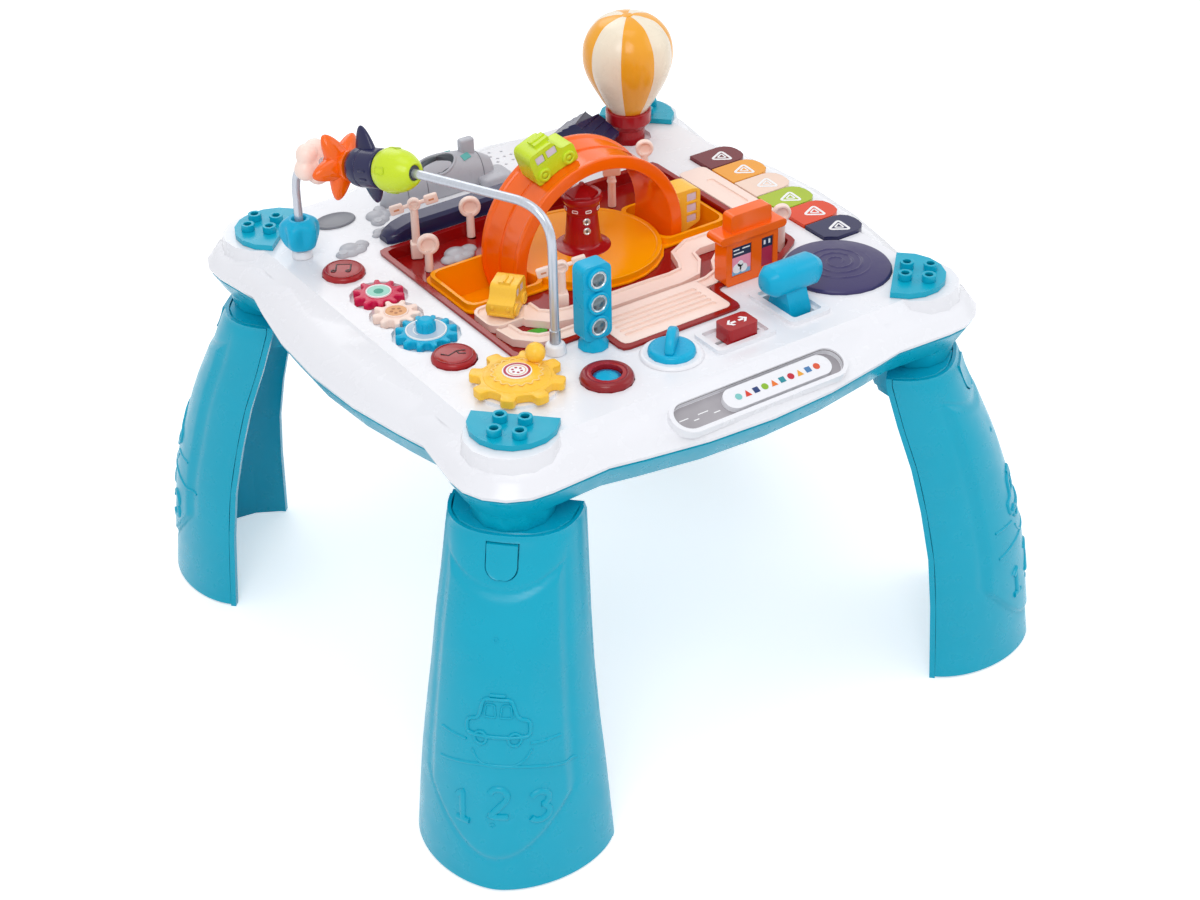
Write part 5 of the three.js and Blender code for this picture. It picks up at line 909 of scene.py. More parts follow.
def gear_outline(teeth):
    """Soft-cornered teeth round a pitch circle."""
    pitch = GEAR_MODULE * teeth / 2
    tip, root, step = pitch + GEAR_MODULE * 0.68, pitch - GEAR_MODULE * 0.92, 360 / teeth
    line = []
    for k in range(teeth):
        for reach, share in ((root, -0.3), (tip, -0.15), (tip, 0.15), (root, 0.3)):
            a = math.radians(step * (k + share))
            line.append((reach * math.cos(a), reach * math.sin(a)))
    return fillet(line, 1.5, 4, closed=True)


def small_gears():
    for name, (x, y, teeth, phase, disc, paint, rim_paint, face) in GEARS.items():
        body = "gear_" + name
        blank = slab(body + "_blank", gear_outline(teeth), 287.7, 294.1, paint, body, 0.9,
                     shift(x, y, 0, phase))
        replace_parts(blank, body)
        rim = [(disc - 1.4, 293.5), (disc, 293.5), (disc, 295.2), (disc - 0.9, 295.2), (disc - 1.1, 294.6),
               (disc - 1.4, 294.6)]
        lathe(body + "_rim", rim, rim_paint, body, (x, y), 64, 0.3)
        puck(body + "_face", disc - 1.2, 293.8, 294.75, face, body, (x, y), 64)


def gear_dots():
    for name, (count, reach, size, tone) in GEAR_DOTS.items():
        x, y = GEARS[name][:2]
        for k, a in enumerate(turns(count)):
            spot = (x + reach * math.cos(a + 0.4), y + reach * math.sin(a + 0.4))
            puck(f"gear_{name}_dot_{k}", size, 294.7, 294.85, tone, "gear_" + name, spot)


def gear_knob():
    """Ribbed knob on the blue gear, with two painted highlights, a grey and a white arc, on its disc."""
    x, y = GEARS["blue"][:2]
    knob = [(0, 294.2), (6.8, 294.2), (6.4, 296), (6, 300.4), (5.2, 302.4), (3.4, 303.1), (0, 303.1)]
    lathe("gear_blue_knob", knob, "sky", "gear_blue", (x, y), 64, 0.9)
    for k in range(10):
        rounded_box(f"gear_blue_rib_{k}", (1.0, 1.5, 5.6), 0.4, "sky", "gear_blue",
                    shift(x, y, 298.2, 36 * k) @ move(6.15, 0, 0))
    # Grey and white arcs on the disc: painted highlights that stand in for its reflection.
    for k, tone in enumerate(("ink_grey", "ink_white")):
        line = arc(0, 0, 10.6 - 2.2 * k, 30 + 90 * k, 110 + 90 * k, 10)
        tube(f"gear_blue_painted_highlight_{k}", [(a, b, 0) for a, b in line], 0.4, tone, "gear_blue", 8, 0.4,
             (0, 0, 1), move(x, y, 294.8))


small_gears()
gear_dots()
gear_knob()


def crank():
    (x, y), low, top = CRANK, 293.7, 299.7
    line = []
    reach, half = 31, 4.8
    root = math.sqrt(24 ** 2 - (half + 1.4) ** 2)
    tooth = [(root, -half - 1.4), (root + 1.6, -half), (reach, -half), (reach, half), (root + 1.6, half),
             (root, half + 1.4)]
    for a in turns(8):
        line += [Matrix.Rotation(a, 2) @ Vector(p) for p in tooth]
    wheel = slab("crank_wheel", fillet(line, 3.2, 6, closed=True), low, top, "yellow", "crank_gear", 1.3,
                 shift(x, y, 0))
    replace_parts(wheel, "crank_gear")
    dome = [(21.8, top - 1), (22, top + 0.2), (20, top + 0.6), (14.4, top + 2.8), (13.6, top + 3.1),
            (0, top + 3.1)]
    lathe("crank_dome", dome, "yellow", "crank_gear", (x, y), 96, 0.6)
    swing = [(15.6 + 1.1 * math.cos(16 * a), a) for a in turns(192)]
    wave = [(r * math.cos(a), r * math.sin(a), 0) for r, a in swing]
    tube("crank_wave", wave, 0.55, "crank_line", "crank_gear", 8, 0.6, (0, 0, 1), move(x, y, top + 2.5),
         ring=True)
    medal = [(0, top + 3), (9.6, top + 3), (9.6, top + 3.7), (8.9, top + 3.9), (0, top + 3.9)]
    lathe("crank_medal", medal, "ink_white", "crank_gear", (x, y), 64)
    for k, (radius, half, tone) in enumerate(((7.9, 0.8, "print_rose"), (5.6, 0.25, "print_tan"))):
        ring = arc(0, 0, radius, 0, 354, 59)
        flat_ring(f"crank_medal_ring_{k}", ring, half, 0.15, tone, "crank_gear", shift(x, y, top + 3.85))
    for k, at in enumerate(arc(x, y, 3, 12, 312, 5)):
        puck(f"crank_medal_dot_{k}", 0.9, top + 3.8, top + 4.02, "print_rose", "crank_gear", at, 20)
    stem = [(0, top), (4.6, top + 1), (3.9, top + 3), (3.7, top + 6), (0, top + 6)]
    lathe("crank_stem", stem, "yellow", "crank_gear", CRANK_KNOB, 40)
    ball = [(6.7 * math.sin(a), top + 8 - 6.7 * math.cos(a)) for a in turns(48)[:25]]
    lathe("crank_ball", ball, "yellow", "crank_gear", CRANK_KNOB, 48)


crank()


# Arena, turntable and arch.
def arena_details():
    x, y = ARENA
    ring = [(51.95, 282.2), (55.7, 282.2), (55.7, 290), (55.2, 290.5), (52.5, 290.5), (51.95, 290)]
    lathe("arena_ring", ring, "amber", "table", (x, y), 120)
    bed = [(0, 286.2), (51.75, 286.2), (51.75, 287.7), (50.9, 288.75), (48.2, 288.75), (47.2, 287.55),
           (0, 287.5)]
    lathe("turntable_disc", bed, "amber", "turntable", (x, y), 120)
    for k in range(3):
        r = 44 - k * 9
        lathe(f"turntable_step_{k}", [(r - 0.5, 287.3), (r, 287.75), (r + 0.5, 287.3)], "amber",
              "turntable", (x, y), 96)


arena_details()


def arch_piece():
    outline = [(-8.5, 61), (37, 61), (37, 70), (33, 70), (32, 68.6), (15.85, 68.6), (15.85, 67.4),
               (12.65, 67.4), (12.65, 68.6), (-3.5, 68.6), (-4.5, 70), (-8.5, 70)]
    section = fillet(outline, 0.9, 3, closed=True)
    loops = []
    for k in range(97):
        a = math.radians(-25.2 + 230.4 * k / 96)
        loops.append([(ARENA[0] + p[1] * math.cos(a), p[0],
                       ARCH_AXIS + p[1] * math.sin(a)) for p in section])
    return skin("arch_band", loops, "orange", "table")


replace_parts(arch_piece(), "arch_ring")


# Balloon: cream and yellow gores over a dark red pot.
def balloon():
    line = smooth_line([(13.4, 312), (15.5, 316), (22.4, 326.7), (31.6, 345.3), (34, 360.2), (31.3, 373.6),
                        (22.4, 384.8), (11, 389.2), (3, 390)], 7)
    loops = []
    for radius, z in line:
        dip = min(1.0, max(0.0, (z - 312) / 30)) * min(1.0, (390.4 - z) / 12)
        reach = [radius * (1 + dip * 0.035 * (abs(math.cos(4 * a)) ** 0.7 - 0.72)) for a in turns(128)]
        loops.append([(r * math.cos(a), r * math.sin(a), z) for r, a in zip(reach, turns(128))])
    piece = skin("balloon_gores", loops, "cream", "balloon", shift(*BALLOON, 0, 24))
    piece.data.materials.append(paints["balloon_yellow"])
    for face in piece.data.polygons:
        c = face.center
        a = math.atan2(c.y - BALLOON[1] * MM, c.x - BALLOON[0] * MM) - math.radians(24) + math.pi / 8
        face.material_index = int((a % TURN) / (math.pi / 4)) % 2
    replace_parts(piece, "balloon")
    neck = [(0, 308.4), (13.4, 308.4), (13.4, 313), (14.6, 315), (14.2, 316.4), (0, 316.4)]
    lathe("balloon_neck", neck, "balloon_yellow", "balloon", BALLOON, 72, 0.6)
    button = [(0, 389.4), (4.4, 389.4), (4, 390.3), (0, 390.6)]
    lathe("balloon_button", button, "balloon_yellow", "balloon", BALLOON, 48, 0.3)


balloon()
pot = [(0, 287.7), (12.6, 287.7), (12.2, 299.5), (16.4, 304.5), (17.4, 305.5), (17.4, 314.4), (16.9, 315),
       (14.4, 315), (13.95, 314.4), (13.95, 308.1), (0, 308.1)]
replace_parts(lathe("pot_body", pot, "red", "table", BALLOON, 72, 0.6), "balloon_pot")


# Drum pad with its raised spiral.
def drum_height(r, a):
    """Height of the domed crown, with a raised spiral round its middle."""
    high = DECK_TOP + 2.2 + 3.3 * (1 - (r / 37) ** 2) ** 0.8
    turn = (r / 6.6 - a / TURN) % 1.0
    ridge = max(0.0, 1 - abs(turn - 0.5) / 0.16)
    if 3 < r < 24:
        high += 0.75 * ridge * min(1, (r - 3) / 2, (24 - r) / 2)
    return high


def drum():
    line = [(38.9, CAP_FOOT), (38.9, CAP_FOOT + 1.2), (37.5, 286.9), (37.5, 292.1), (36.8, 293.2)]
    crown = [37 - 37 * k / 72 for k in range(1, 72)]
    loops = [[(r * math.cos(a), r * math.sin(a), z) for a in turns(144)] for r, z in line]
    loops += [[(r * math.cos(a), r * math.sin(a), drum_height(r, a)) for a in turns(144)] for r in crown]
    return skin("drum_skin", loops, "plum", "drum_pad", shift(*DRUM, 0, -60))


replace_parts(drum(), "drum_pad")


# Target, rotary knob, cube and lever.
def target():
    ring = [(10.25, 290.9), (17.6, 290.9), (17.6, 293.2), (16.4, 295.3), (14, 296.2), (12, 295.6),
            (10.6, 293.6), (10.25, 291.6)]
    lathe("target_torus", ring, "red_bright", "target", TARGET, 96, 0.8)
    eye = [(0, 290.9), (9.6, 290.9), (9.6, 292.3), (5, 293.1), (0, 293.2)]
    lathe("target_core", eye, "target_blue", "target", TARGET, 64, 0.4)


target()


def rotary():
    x, y = ROTARY
    dish = [(16.2, 291), (21.6, 291.1), (20.4, 293.1), (18.4, 293.4), (16.2, 292.2)]
    lathe("rotary_dish", dish, "white", "table", (x, y), 80, 0.7)
    disc = [(0, 291.3), (15.6, 291.3), (15.9, 294.4), (15.2, 296.8), (13.2, 297.7), (0, 297.7)]
    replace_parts(lathe("rotary_disc", disc, "sky", "rotary_knob", (x, y), 80, 1.0), "rotary_knob")
    fin = [(12.6 * math.cos(a), 13.4 * math.sin(a) ** 0.85) for a in turns(64)[:33]]
    slab("rotary_fin", fin, -3.1, 3.1, "sky", "rotary_knob", 2.0,
         shift(x, y, 297.2, 45) @ spin(90, "X"))


rotary()


def cube_prints():
    for sign in (-1, 1):
        at = shift(19 + sign * 4.6, -152.5, 302.6)
        head = [(sign * 3.6, 0), (sign * 0.6, 3.4), (-sign * 1.4, 3.4), (sign * 1.4, 0),
                (-sign * 1.4, -3.4), (sign * 0.6, -3.4)]
        slab(f"cube_arrow_{sign + 1}", head if sign > 0 else head[::-1], 0, 0.25, "ink_white",
             "slider_cube", 0, at)
        tail = [(-sign * 3.4, -0.9), (sign * 0.4, -0.9), (sign * 0.4, 0.9), (-sign * 3.4, 0.9)]
        slab(f"cube_tail_{sign + 1}", tail, 0, 0.25, "ink_white", "slider_cube", 0, at)


cube_prints()


def lever_head():
    loops = []
    half, r = 22.9, 10.3
    spots = [math.sin(math.pi / 2 * k / 9) for k in range(1, 10)]
    rows = [(-half, 0.05)] + [(-half + 6.5 * (1 - math.cos(math.pi / 2 * s)), s) for s in spots]
    rows += [(-a, b) for a, b in reversed(rows)]
    for x, share in rows:
        reach = r * (0.45 + 0.55 * share) if share > 0.06 else 0.4
        loops.append([(x, reach * swell(math.cos(a), 0.72), reach * swell(math.sin(a), 0.72))
                      for a in turns(48)])
    skin("lever_grip", loops, "sky", "shift_lever", move(*LEVER))


lever_head()


# Traffic light lenses.
def traffic_lenses():
    x, y, z = LIGHT
    for k in range(3):
        face = facing(x, y - 6.25, z + (k - 1) * 17.2)
        hood = [(6.0, -0.8), (7.95, -0.8), (7.95, 1.9), (7.2, 2.3), (6.3, 2.1), (6.0, 1.2)]
        lathe(f"lens_hood_{k}", hood, "sky", "table", steps=56, round_by=0.3, matrix=face)
        bezel = [(5.3, 0.2), (6.2, 0.2), (6.2, 1.7), (5.7, 1.9), (5.3, 1.5)]
        lathe(f"lens_bezel_{k}", bezel, "lens_rim", "table", steps=48, matrix=face)
        glass = [(5.5, 0.2), (5.4, 0.9), (4.2, 1.9), (2.4, 2.5), (0, 2.7)]
        lathe(f"lens_glass_{k}", glass, "lens", "table", steps=48, matrix=face)


traffic_lenses()


# Tower on the turntable: saucer foot, tapered shaft, slotted band and faceted roof.
def tower():
    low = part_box("tower")[0][2] / MM
    line = smooth_line([(21, 0.5), (19.6, 2.6), (15.6, 4.2), (13.2, 6.4), (12.2, 14), (10.9, 28.4)], 5)
    band = [(11, 29.6), (12.2, 30.4), (12.2, 36), (12.8, 36.8), (14.3, 39.4), (14.3, 42), (13.4, 42.8)]
    rows = [(0, 0), (20.6, 0)] + line + band + [(12.2, 42.2), (0, 42.2)]
    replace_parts(lathe("tower_body", rows, "red", "turntable", round_by=0.5, matrix=shift(*ARENA, low, -30)),
                "tower")
    hexagon = [(math.cos(a), math.sin(a)) for a in turns(6)]
    tiers = [(11.8, 42), (11.4, 43.2), (7.4, 46.4), (2.2, 49), (1.6, 50.6)]
    roof = [[(x * r, y * r, z) for x, y in hexagon] for r, z in tiers]
    skin("tower_roof", roof, "red", "turntable", shift(*ARENA, low, -30), soft=False)
    slot = oblong(2, 0.9, 0.6, 3)
    for k in range(8):
        turn = facing(*ARENA, low + 33.3, 45 * k - 12) @ move(0, 0, 12.2)
        flat_ring(f"tower_slot_{k}", slot, 0.3, 0.25, "ink_white", "turntable", turn)
    for k, (z, reach) in enumerate(((18.3, 11.6), (25.3, 10.9))):
        turn = facing(*ARENA, low + z, -18) @ move(0, 0, reach)
        border = [(1.6, -0.8), (2.7, -0.8), (2.7, 0.7), (2.1, 1.1), (1.6, 0.6)]
        lathe(f"tower_window_{k}", border, "lens_rim", "turntable", steps=36, matrix=turn)
        glass = [(1.7, -0.6), (1.7, 0.3), (0.9, 0.7), (0, 0.8), (0, -0.6)]
        lathe(f"tower_glass_{k}", glass, "lens", "turntable", steps=30, matrix=turn)


tower()


# Peach sign posts with hollow round heads and pointing arms.
SIGNS = [(-92, 54, 305, "disc"), (-89, 76, 326, "arms"), (-42, 80, 308, "disc"), (66, 59, 312, "plate"),
         (98, 63, 320, "disc"), (123, -67, 314, "disc"), (-46, -44, 316, "arms")]


def sign_disc(name, face, radius=6.6, thick=5.0):
    half = thick / 2
    bowl = [(0, -half), (radius - 1.2, -half), (radius, 1 - half), (radius, half - 0.8),
            (radius - 0.6, half), (radius * 0.66, half), (radius * 0.6, half - 1.8), (0, half - 2)]
    lathe(name, bowl, "peach", "table", steps=48, round_by=0.5, matrix=face)


def sign_arms(k, face):
    """Small hub with a bar and a pointing blade on each side; the slot in each blade is a darker peach box,
    painted shade.
    """
    sign_disc(f"sign_head_{k}", face, 4.6, 5.2)
    lean = face @ spin(14)
    tube(f"sign_bar_{k}", [(-9, 0, 0), (9, 0, 0)], 1.4, "peach", "table", 16, matrix=lean)
    for side in (-1, 1):
        blade = lean @ move(side * 12.6, 0, 0)
        rounded_box(f"sign_blade_{k}_{side + 1}", (9.6, 7.0, 3.4), 1.5, "peach", "table", blade)
        # Darker peach box through the blade: painted shade where the slot is.
        rounded_box(f"sign_slot_{k}_{side + 1}", (4.2, 1.6, 3.6), 0.5, "peach_painted_shade", "table", blade)


def signs():
    for k, (x, y, z, kind) in enumerate(SIGNS):
        post = [(0, 284.3), (3.0, 284.3), (2.8, z - 4), (0, z - 4)]
        piece = lathe(f"sign_post_{k}", post, "peach", "table", (x, y), 28)
        if k == 0:
            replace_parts(piece, "sign_posts")
        face = facing(x, y, z, -25)
        if kind == "disc":
            sign_disc(f"sign_head_{k}", face, 7.8 if z < 310 else 6.6)
        elif kind == "plate":
            rounded_box(f"sign_head_{k}", (13.2, 9.9, 3.4), 1.6, "peach", "table",
                        face @ move(0, 1.7, 0))
            lathe(f"sign_neck_{k}", [(0, -9), (3.6, -8), (2.2, -3), (0, -3)], "peach", "table", steps=24,
                  matrix=shift(x, y, z))
        else:
            sign_arms(k, face)
    for k in (1, 6):
        x, y = SIGNS[k][:2]
        rounded_box(f"sign_booth_{k}", (8.4, 8.4, 12), 1.6, "peach", "table", shift(x, y, 290.4, -25))


signs()


# Cars: panes, wheel rings, lamps.
def car_frame(kind):
    """Matrix of a car, with X along it, and its length, height, width, wheel radius and lift."""
    if kind == "taxi":
        return shift(-82, -31, 290.5, 220), 29, 20, 18.6, 4.4, 0.2
    turn, size = {"lime_car": (111, (35, 23, 20, 5, 1.5)), "bus": (0, (33, 27, 19, 4.6, 1.5))}[kind]
    lift = move(ARENA[0], 14.25, ARCH_AXIS) @ spin(90 - turn, "Y")
    return lift @ move(0, 0, ARCH_RAIL), *size


# Spans of the panes along a car, and the edges of the panes as shares of its height.
PANES = {
    "lime_car": ([(-0.36, -0.16), (-0.1, 0.14)], 0.58, 0.85),
    "bus": ([(-0.4, -0.2), (-0.14, 0.06), (0.12, 0.3)], 0.56, 0.88),
    "taxi": ([(-0.34, -0.08), (-0.02, 0.18)], 0.56, 0.86),
}


def car_side(kind, paint, side):
    """Panes, wheels and lamp of one side of a car."""
    at, length, height, width, wheel, under = car_frame(kind)
    panes, low, high = PANES[kind]
    for k, (a, b) in enumerate(panes):
        left, right = a * length + 0.3, b * length - 0.3
        foot, head = height * low + 0.3, height * high - 0.3
        box = fillet([(left, foot), (right, foot), (right, head), (left, head)], 0.7, 3, closed=True)
        slab(f"{kind}_pane_{side + 1}_{k}", box, -0.1, 0.35, "car_pane", kind, 0.15,
             at @ move(0, side * (width / 2 - 0.75) + 0.1, 0) @ spin(90, "X"))
    tyre = [(0, -1.2), (wheel, -1.2), (wheel + 0.05, 0.5), (wheel * 0.8, 1.0), (wheel * 0.62, 0.9),
            (wheel * 0.55, 0.35), (wheel * 0.36, 0.35), (wheel * 0.28, 0.8), (0, 0.9)]
    for k in (-1, 1):
        hub = at @ move(k * length * 0.3, side * (width / 2 + 0.55), wheel - under / 2)
        lathe(f"{kind}_wheel_{side + 1}_{k + 1}", tyre, paint, kind, steps=40, round_by=0.3,
              matrix=hub @ spin(-90 * side, "X"))
    lens = [(0, 0), (1.7, 0), (1.6, 0.6), (1.0, 0.9), (0, 1.0)]
    front = at @ move(length / 2 - 0.1, side * width * 0.3, height * 0.34)
    lathe(f"{kind}_lamp_{side + 1}", lens, paint, kind, steps=28, matrix=front @ spin(90, "Y"))


def car_details(kind):
    at, length, height, width, _, _ = car_frame(kind)
    paint = "lime" if kind == "lime_car" else "yellow"
    for side in (-1, 1):
        car_side(kind, paint, side)
    rounded_box(f"{kind}_bumper", (1.4, width * 0.86, 1.8), 0.6, paint, kind,
                at @ move(length / 2, 0, height * 0.12))
    rounded_box(f"{kind}_rack_bar", (length * 0.34, 1.4, 1.4), 0.5, paint, kind,
                at @ move(-length * 0.03, 0, height + 1.9))


for kind in PANES:
    car_details(kind)


# Piano keys: white drawings on each key.
def key_prints():
    outer = fillet([(-6.2, -5.2), (6.2, -5.2), (0, 5.6)], 2.6, 5, closed=True)
    inner = fillet([(-2.6, -2.9), (2.6, -2.9), (0, 1.9)], 0.9, 3, closed=True)
    for k, name in enumerate(KEYS):
        at = shift(168.5, 62.5 - 27.6 * k, 293.6, -34) @ Matrix.Scale(1.25, 4)
        flat_ring(f"key_print_{name}", outer, 0.75, 0.2, "ink_white", "key_" + name, at)
        flat_ring(f"key_print_inner_{name}", inner, 0.45, 0.2, "ink_white", "key_" + name, at)
        frame["nodes"]["key_" + name].data.materials[0] = paints["key_" + name]


key_prints()


# Station windows with plain printed pictures.
def station_prints():
    middle, y = STATION
    for name, left, right, tint in (("wide", -17, -0.5, "print_pink"), ("narrow", 8, 18, "print_rose")):
        mid, half = middle + (left + right) / 2, (right - left) / 2 - 0.2
        for k, (low, high, tone) in enumerate(((312, 319.8, "print_navy"), (298.2, 312, tint))):
            rounded_box(f"station_pane_{name}_{k}", (2 * half, high - low, 0.6), 0.12, tone, "table",
                        facing(mid, y + 1.0, (low + high) / 2))
    for k, (x, z, r) in enumerate(((61.2, 303.2, 3.6), (66.6, 302.6, 3.2), (64, 306.2, 2.4))):
        puck(f"station_cloud_{k}", r, 0, 0.2, "ink_white", "table", matrix=facing(x, y + 0.72, z))
    rounded_box("station_meadow", (15.4, 3.2, 0.3), 0.1, "print_sky", "table", facing(64.8, y + 0.68, 300))
    for k, (x, z, wide) in enumerate(((60.4, 317.4, 5), (68.6, 317.4, 6.4), (62.4, 314.6, 8.4))):
        rounded_box(f"station_bar_{k}", (wide, 0.9, 0.3), 0.1, "ink_white", "table", facing(x, y + 0.68, z))
    for k, x in enumerate((84.4, 88.4)):
        rounded_box(f"station_tick_{k}", (1.6, 3.2, 0.3), 0.1, "ink_white", "table",
                    facing(x, y + 0.68, 316))


station_prints()


# Slider slot at the front edge.
def slot_matrix(x=0.0, rise=0.0):
    """Place in the sloping slot of the front edge."""
    return move(-1.5, -203.6, 283.4) @ spin(23, "X") @ move(x, 0, rise)


def pill(length, width, steps=14):
    """Outline with two round ends."""
    half = length / 2 - width / 2
    return arc(half, 0, width / 2, -90, 90, steps) + arc(-half, 0, width / 2, 90, 270, steps)


def name_slot():
    slab("slot_floor", pill(131.4, 20.4), -3.5, -3.3, "slot_grey", "table", 0, slot_matrix())
    flat_ring("slot_rim", pill(134, 23), 1.1, 0.5, "slot_edge", "table", slot_matrix(0, 0.02))
    # White bars on the slot floor: painted highlights that stand in for the reflection on its gloss.
    for k, (x, wide) in enumerate(((-58, 7), (-50, 4), (-43, 8), (-34, 5))):
        rounded_box(f"slot_painted_highlight_{k}", (wide, 0.8, 0.12), 0.2, "ink_white", "table",
                    slot_matrix(x, -3.2) @ move(0, 1 - k % 2 * 3, 0))
    colours = ("#7fc4c0", "#d8402c", "#2a3f74", "#8cb832", "#e9772a", "#2f8f9b", "#c22a3c", "#e9a53a",
               "#4f7fb0", "#db5a3a")
    forms = [arc(0, 0, 2.4, 0, 345, 23), [(-2.4, -2.2), (2.4, -2.2), (0, 2.6)],
             [(-2.1, -2.1), (2.1, -2.1), (2.1, 2.1), (-2.1, 2.1)]]
    for k, code in enumerate(colours):
        paints[f"mark_{k}"] = printed(f"mark_{k}", code)
        at = slot_matrix(7 * k - 17, 1.12)
        slab(f"slider_mark_{k}", forms[k % 3], 0, 0.2, f"mark_{k}", "name_slider", 0, at)


name_slot()


# Shuttle, clouds and leaf.
SHUTTLE_TAIL, SHUTTLE_LONG, SHUTTLE_MIDDLE, SHUTTLE_FOOT = -78, 92, 146, 291.3
# Share of the length and share of the full width there.
SHUTTLE_WIDTHS = [(0, 0.1), (0.02, 0.27), (0.05, 0.42), (0.14, 0.66), (0.28, 0.88), (0.45, 1), (0.7, 0.98),
                  (0.88, 0.82), (1, 0.6)]


def interpolate(table, at):
    """Value between the rows of a table."""
    for (a, u), (b, v) in zip(table, table[1:]):
        if a <= at <= b:
            return u + (v - u) * (at - a) / (b - a)
    return table[-1][1]


def shuttle_hull():
    """Rounded hull; gives back a finder of points and normals on its top."""
    loops = []
    for share, wide in smooth_line(SHUTTLE_WIDTHS, 5):
        loops.append([(SHUTTLE_TAIL + SHUTTLE_LONG * share, SHUTTLE_MIDDLE + 14.5 * wide * math.cos(a),
                       SHUTTLE_FOOT + 26.1 * wide ** 1.1 * math.sin(a) ** 0.8) for a in turns(80)[:41]])
    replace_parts(skin("shuttle_hull", loops, "grey", "table"), "shuttle")
    tree = BVHTree.FromPolygons(*stack(loops))
    return lambda x, y: tree.ray_cast(Vector((x, y, 400)), Vector((0, 0, -1)))[:2]


def shuttle_canopy(on_hull):
    x, y = -32, 141.5
    rim = [on_hull(x + 15 * math.cos(a), y + 7.2 * math.sin(a))[0] for a in turns(48)]
    tube("shuttle_canopy_rim", rim, 1.1, "grey", "table", 10, ring=True)
    glass = []
    for t in (0, 0.25, 0.5, 0.75, 0.97):
        rise = Vector((0, 0, 0.3 + 2.2 * math.sin(math.pi / 2 * t)))
        glass.append([p.lerp(Vector((x, y, p.z)), t) + rise for p in rim])
    skin("shuttle_canopy", glass, "dark", "table")


def shuttle():
    on_hull = shuttle_hull()
    for k, (x, y, long, wide) in enumerate(((-8, 140, 8, 5), (-20, 152, 10, 4), (-50, 147, 7, 4))):
        rounded_box(f"shuttle_patch_{k}", (long, wide, 0.8), 0.3, "patch", "table", lying(*on_hull(x, y)))
    shuttle_canopy(on_hull)
    rounded_box("shuttle_fin", (12, 7, 16), 2.6, "grey", "table", move(-4, SHUTTLE_MIDDLE, 317))
    wing = fillet([(-2, 124), (24, 124), (24, 146), (-2, 146)], 6, 6, closed=True)
    slab("shuttle_wing", wing, SHUTTLE_FOOT - 0.1, 297.4, "grey", "table", 2.0)
    for k, x in enumerate((-60, -45, 4)):
        share = interpolate(SHUTTLE_WIDTHS, (x - SHUTTLE_TAIL) / SHUTTLE_LONG)
        angles = [math.radians(8 + 164 * j / 24) for j in range(25)]
        seam = [(x, SHUTTLE_MIDDLE + 14.7 * share * math.cos(a),
                 SHUTTLE_FOOT + 26.4 * share ** 1.1 * math.sin(a) ** 0.8) for a in angles]
        tube(f"shuttle_seam_{k}", seam, 0.35, "grey_dark", "table", 6)


shuttle()


# Places of the grey mouldings on the deck.
CLOUD_LEFT, CLOUD_BACK, CRATER = (-127, 101), (-87, 134), (-116, 146)


def cloud(name, x, y, z, turn, size):
    """Low cloud of five puffs."""
    puffs = [((-9, 0, 0), (6, 5.4, 2.6)), ((0, 2, 0), (8, 7.4, 3.4)), ((9, -1, 0), (6.4, 5.2, 2.6)),
             ((3, -5, 0), (6, 4.4, 2.4)), ((-4, -4, 0), (5.6, 4.4, 2.4))]
    balls = [(Vector(c) * size, [r * size for r in radii]) for c, radii in puffs]
    return melted(name, balls, "grey", "table", shift(x, y, z, turn), 0.7, 4)


cloud("cloud_left", *CLOUD_LEFT, DECK_TOP, 20, 1.0)
cloud("cloud_back", *CLOUD_BACK, DECK_TOP, 60, 1.0)
cloud("cloud_small", -98, 112, DECK_TOP, 30, 0.6)
cloud("cloud_town", -64, 62, 284.2, 20, 1.1)
dish = smooth_line([(0, 0.4), (8, 0.5), (12.4, 1.0), (14.4, 1.6), (15.4, 1.4), (16, 0.2)], 4)
lathe("crater", dish, "grey_dark", "table", steps=64,
      matrix=move(*CRATER, DECK_TOP) @ Matrix.Diagonal((1, 0.68, 1, 1)))
leaf = smooth_line([(-9, -4), (-3, 2.4), (5, 3.6), (10, 0), (4, -3.4), (-3, -5), (-9, -4)], 5)[:-1]
slab("leaf_print", leaf, 0, 0.8, "leaf", "table", 0.2, shift(-80, -60, 284.1, -20))


def tint_deck():
    """Greys the cloud and crater mouldings on the deck."""
    deck = frame["nodes"]["top_deck"]
    deck.data.materials.append(paints["grey"])
    spots = [(*CLOUD_LEFT, 19), (*CLOUD_BACK, 19), (*CRATER, 16.4)]
    for face in deck.data.polygons:
        c = face.center / MM
        if c.z > DECK_TOP + 0.05 and any((c.x - x) ** 2 + (c.y - y) ** 2 < r * r for x, y, r in spots):
            face.material_index = 1


tint_deck()


# Stage: camera, light and floor.
def look(az, el, roll):
    """Right, up and forward directions of a camera from its three angles in degrees."""
    a, e, c = (math.radians(v) for v in (az, el, roll))
    back = Vector((math.sin(a) * math.cos(e), -math.cos(a) * math.cos(e), math.sin(e)))
    right = (-back).cross(Vector((0, 0, 1))).normalized()
    up = right.cross(-back)
    return math.cos(c) * right + math.sin(c) * up, -math.sin(c) * right + math.cos(c) * up, back


def camera():
    right, up, back = look(-33.74, 33.50, -1.20)
    data = bpy.data.cameras.new("camera")
    data.sensor_width = 36.0
    data.lens = 67.55
    data.clip_end = 20.0
    eye = add_object("camera", data)
    turn = Matrix((right, up, back)).transposed().to_4x4()
    eye.matrix_world = move(-0.76158, -1.15741, 1.04411) @ turn
    bpy.context.scene.camera = eye


def lamp(name, place, size, power):
    """Round soft lamp that looks at the middle of the table."""
    data = bpy.data.lights.new(name, "AREA")
    data.shape = "DISK"
    data.size = size
    data.energy = power
    light = add_object(name, data)
    light.location = place
    light.rotation_mode = "QUATERNION"
    light.rotation_quaternion = (Vector(place) - Vector((0, 0, 0.2))).to_track_quat("Z", "Y")


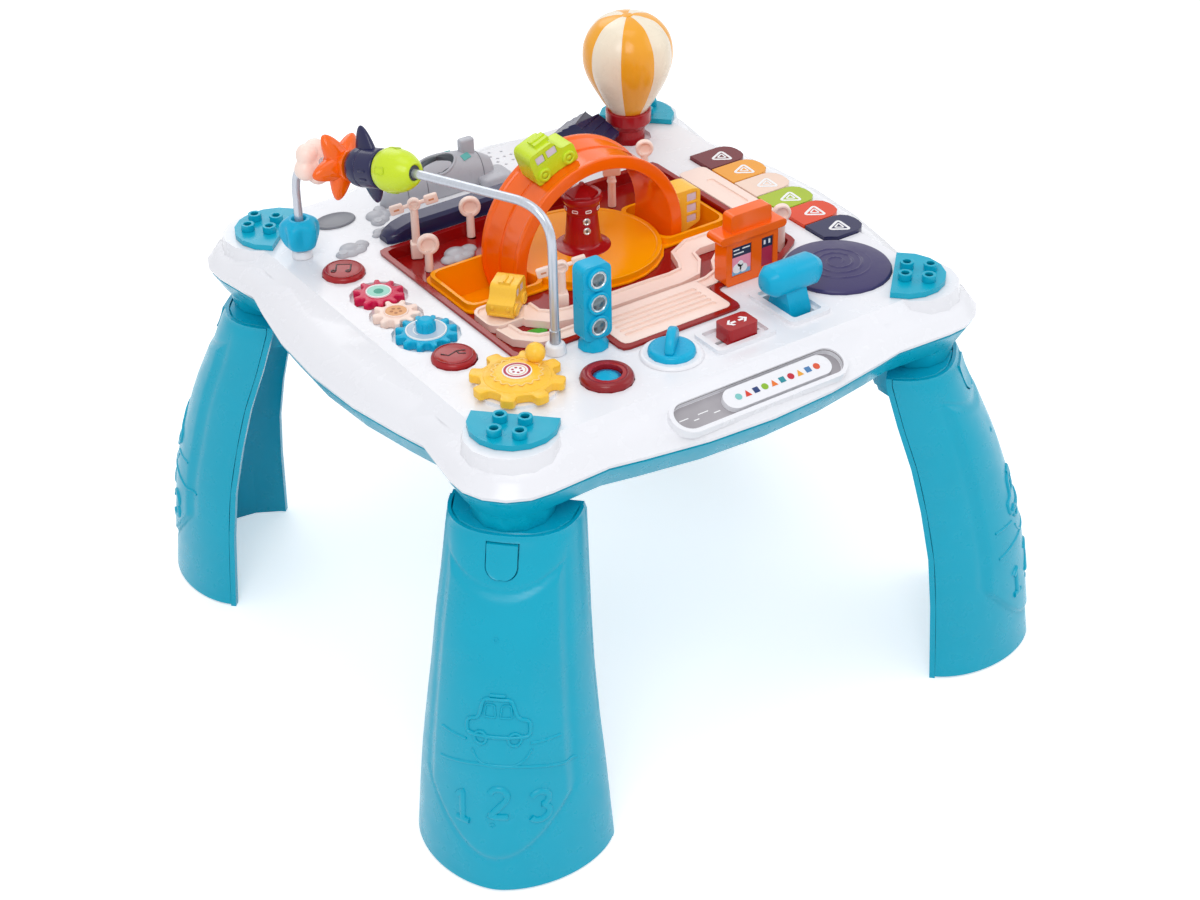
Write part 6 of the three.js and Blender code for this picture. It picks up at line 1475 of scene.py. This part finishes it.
def seen(tree):
    """One where the camera, a mirror or glass sees the surface, and nought for other rays."""
    path = tree.nodes.new("ShaderNodeLightPath")
    out = path.outputs["Is Camera Ray"]
    for name in ("Is Glossy Ray", "Is Transmission Ray"):
        most = tree.nodes.new("ShaderNodeMath")
        most.operation = "MAXIMUM"
        tree.links.new(out, most.inputs[0])
        tree.links.new(path.outputs[name], most.inputs[1])
        out = most.outputs[0]
    return out


def sky():
    """Even light all round, and plain white where the camera looks past the floor."""
    world = bpy.data.worlds.new("studio")
    world.use_nodes = True
    bpy.context.scene.world = world
    tree = world.node_tree
    ambient = tree.nodes["Background"]
    ambient.inputs["Color"].default_value = (0.93, 0.95, 1.0, 1)
    ambient.inputs["Strength"].default_value = 0.66
    white = tree.nodes.new("ShaderNodeBackground")
    white.inputs["Color"].default_value = (1, 1, 1, 1)
    white.inputs["Strength"].default_value = 1.0
    mix = tree.nodes.new("ShaderNodeMixShader")
    tree.links.new(seen(tree), mix.inputs["Fac"])
    tree.links.new(ambient.outputs[0], mix.inputs[1])
    tree.links.new(white.outputs[0], mix.inputs[2])
    tree.links.new(mix.outputs[0], tree.nodes["World Output"].inputs["Surface"])


def ground():
    bpy.ops.mesh.primitive_plane_add(size=6, location=(0, 0, 0))
    floor = bpy.context.object
    floor.name = "floor"
    n = Nodes("floor_paper")
    n.put({"Base Color": (0.93, 0.93, 0.93, 1), "Roughness": 0.9, "Emission Color": (1, 1, 1, 1)})
    glow = n.add("ShaderNodeMath", operation="MULTIPLY")
    glow.inputs[1].default_value = 0.42
    n.link(seen(n.tree), glow.inputs[0])
    n.link(glow.outputs[0], n.shader.inputs["Emission Strength"])
    floor.data.materials.append(n.material)


camera()
sky()
ground()
lamp("key", (-1.1, -1.3, 1.9), 1.3, 16.5)
lamp("fill", (1.7, -0.9, 1.3), 1.6, 6.4)
lamp("back", (0.4, 1.8, 1.7), 1.4, 7.5)
lamp("top", (0.0, 0.0, 2.3), 1.2, 5)
bpy.context.scene.view_settings.view_transform = "Standard"
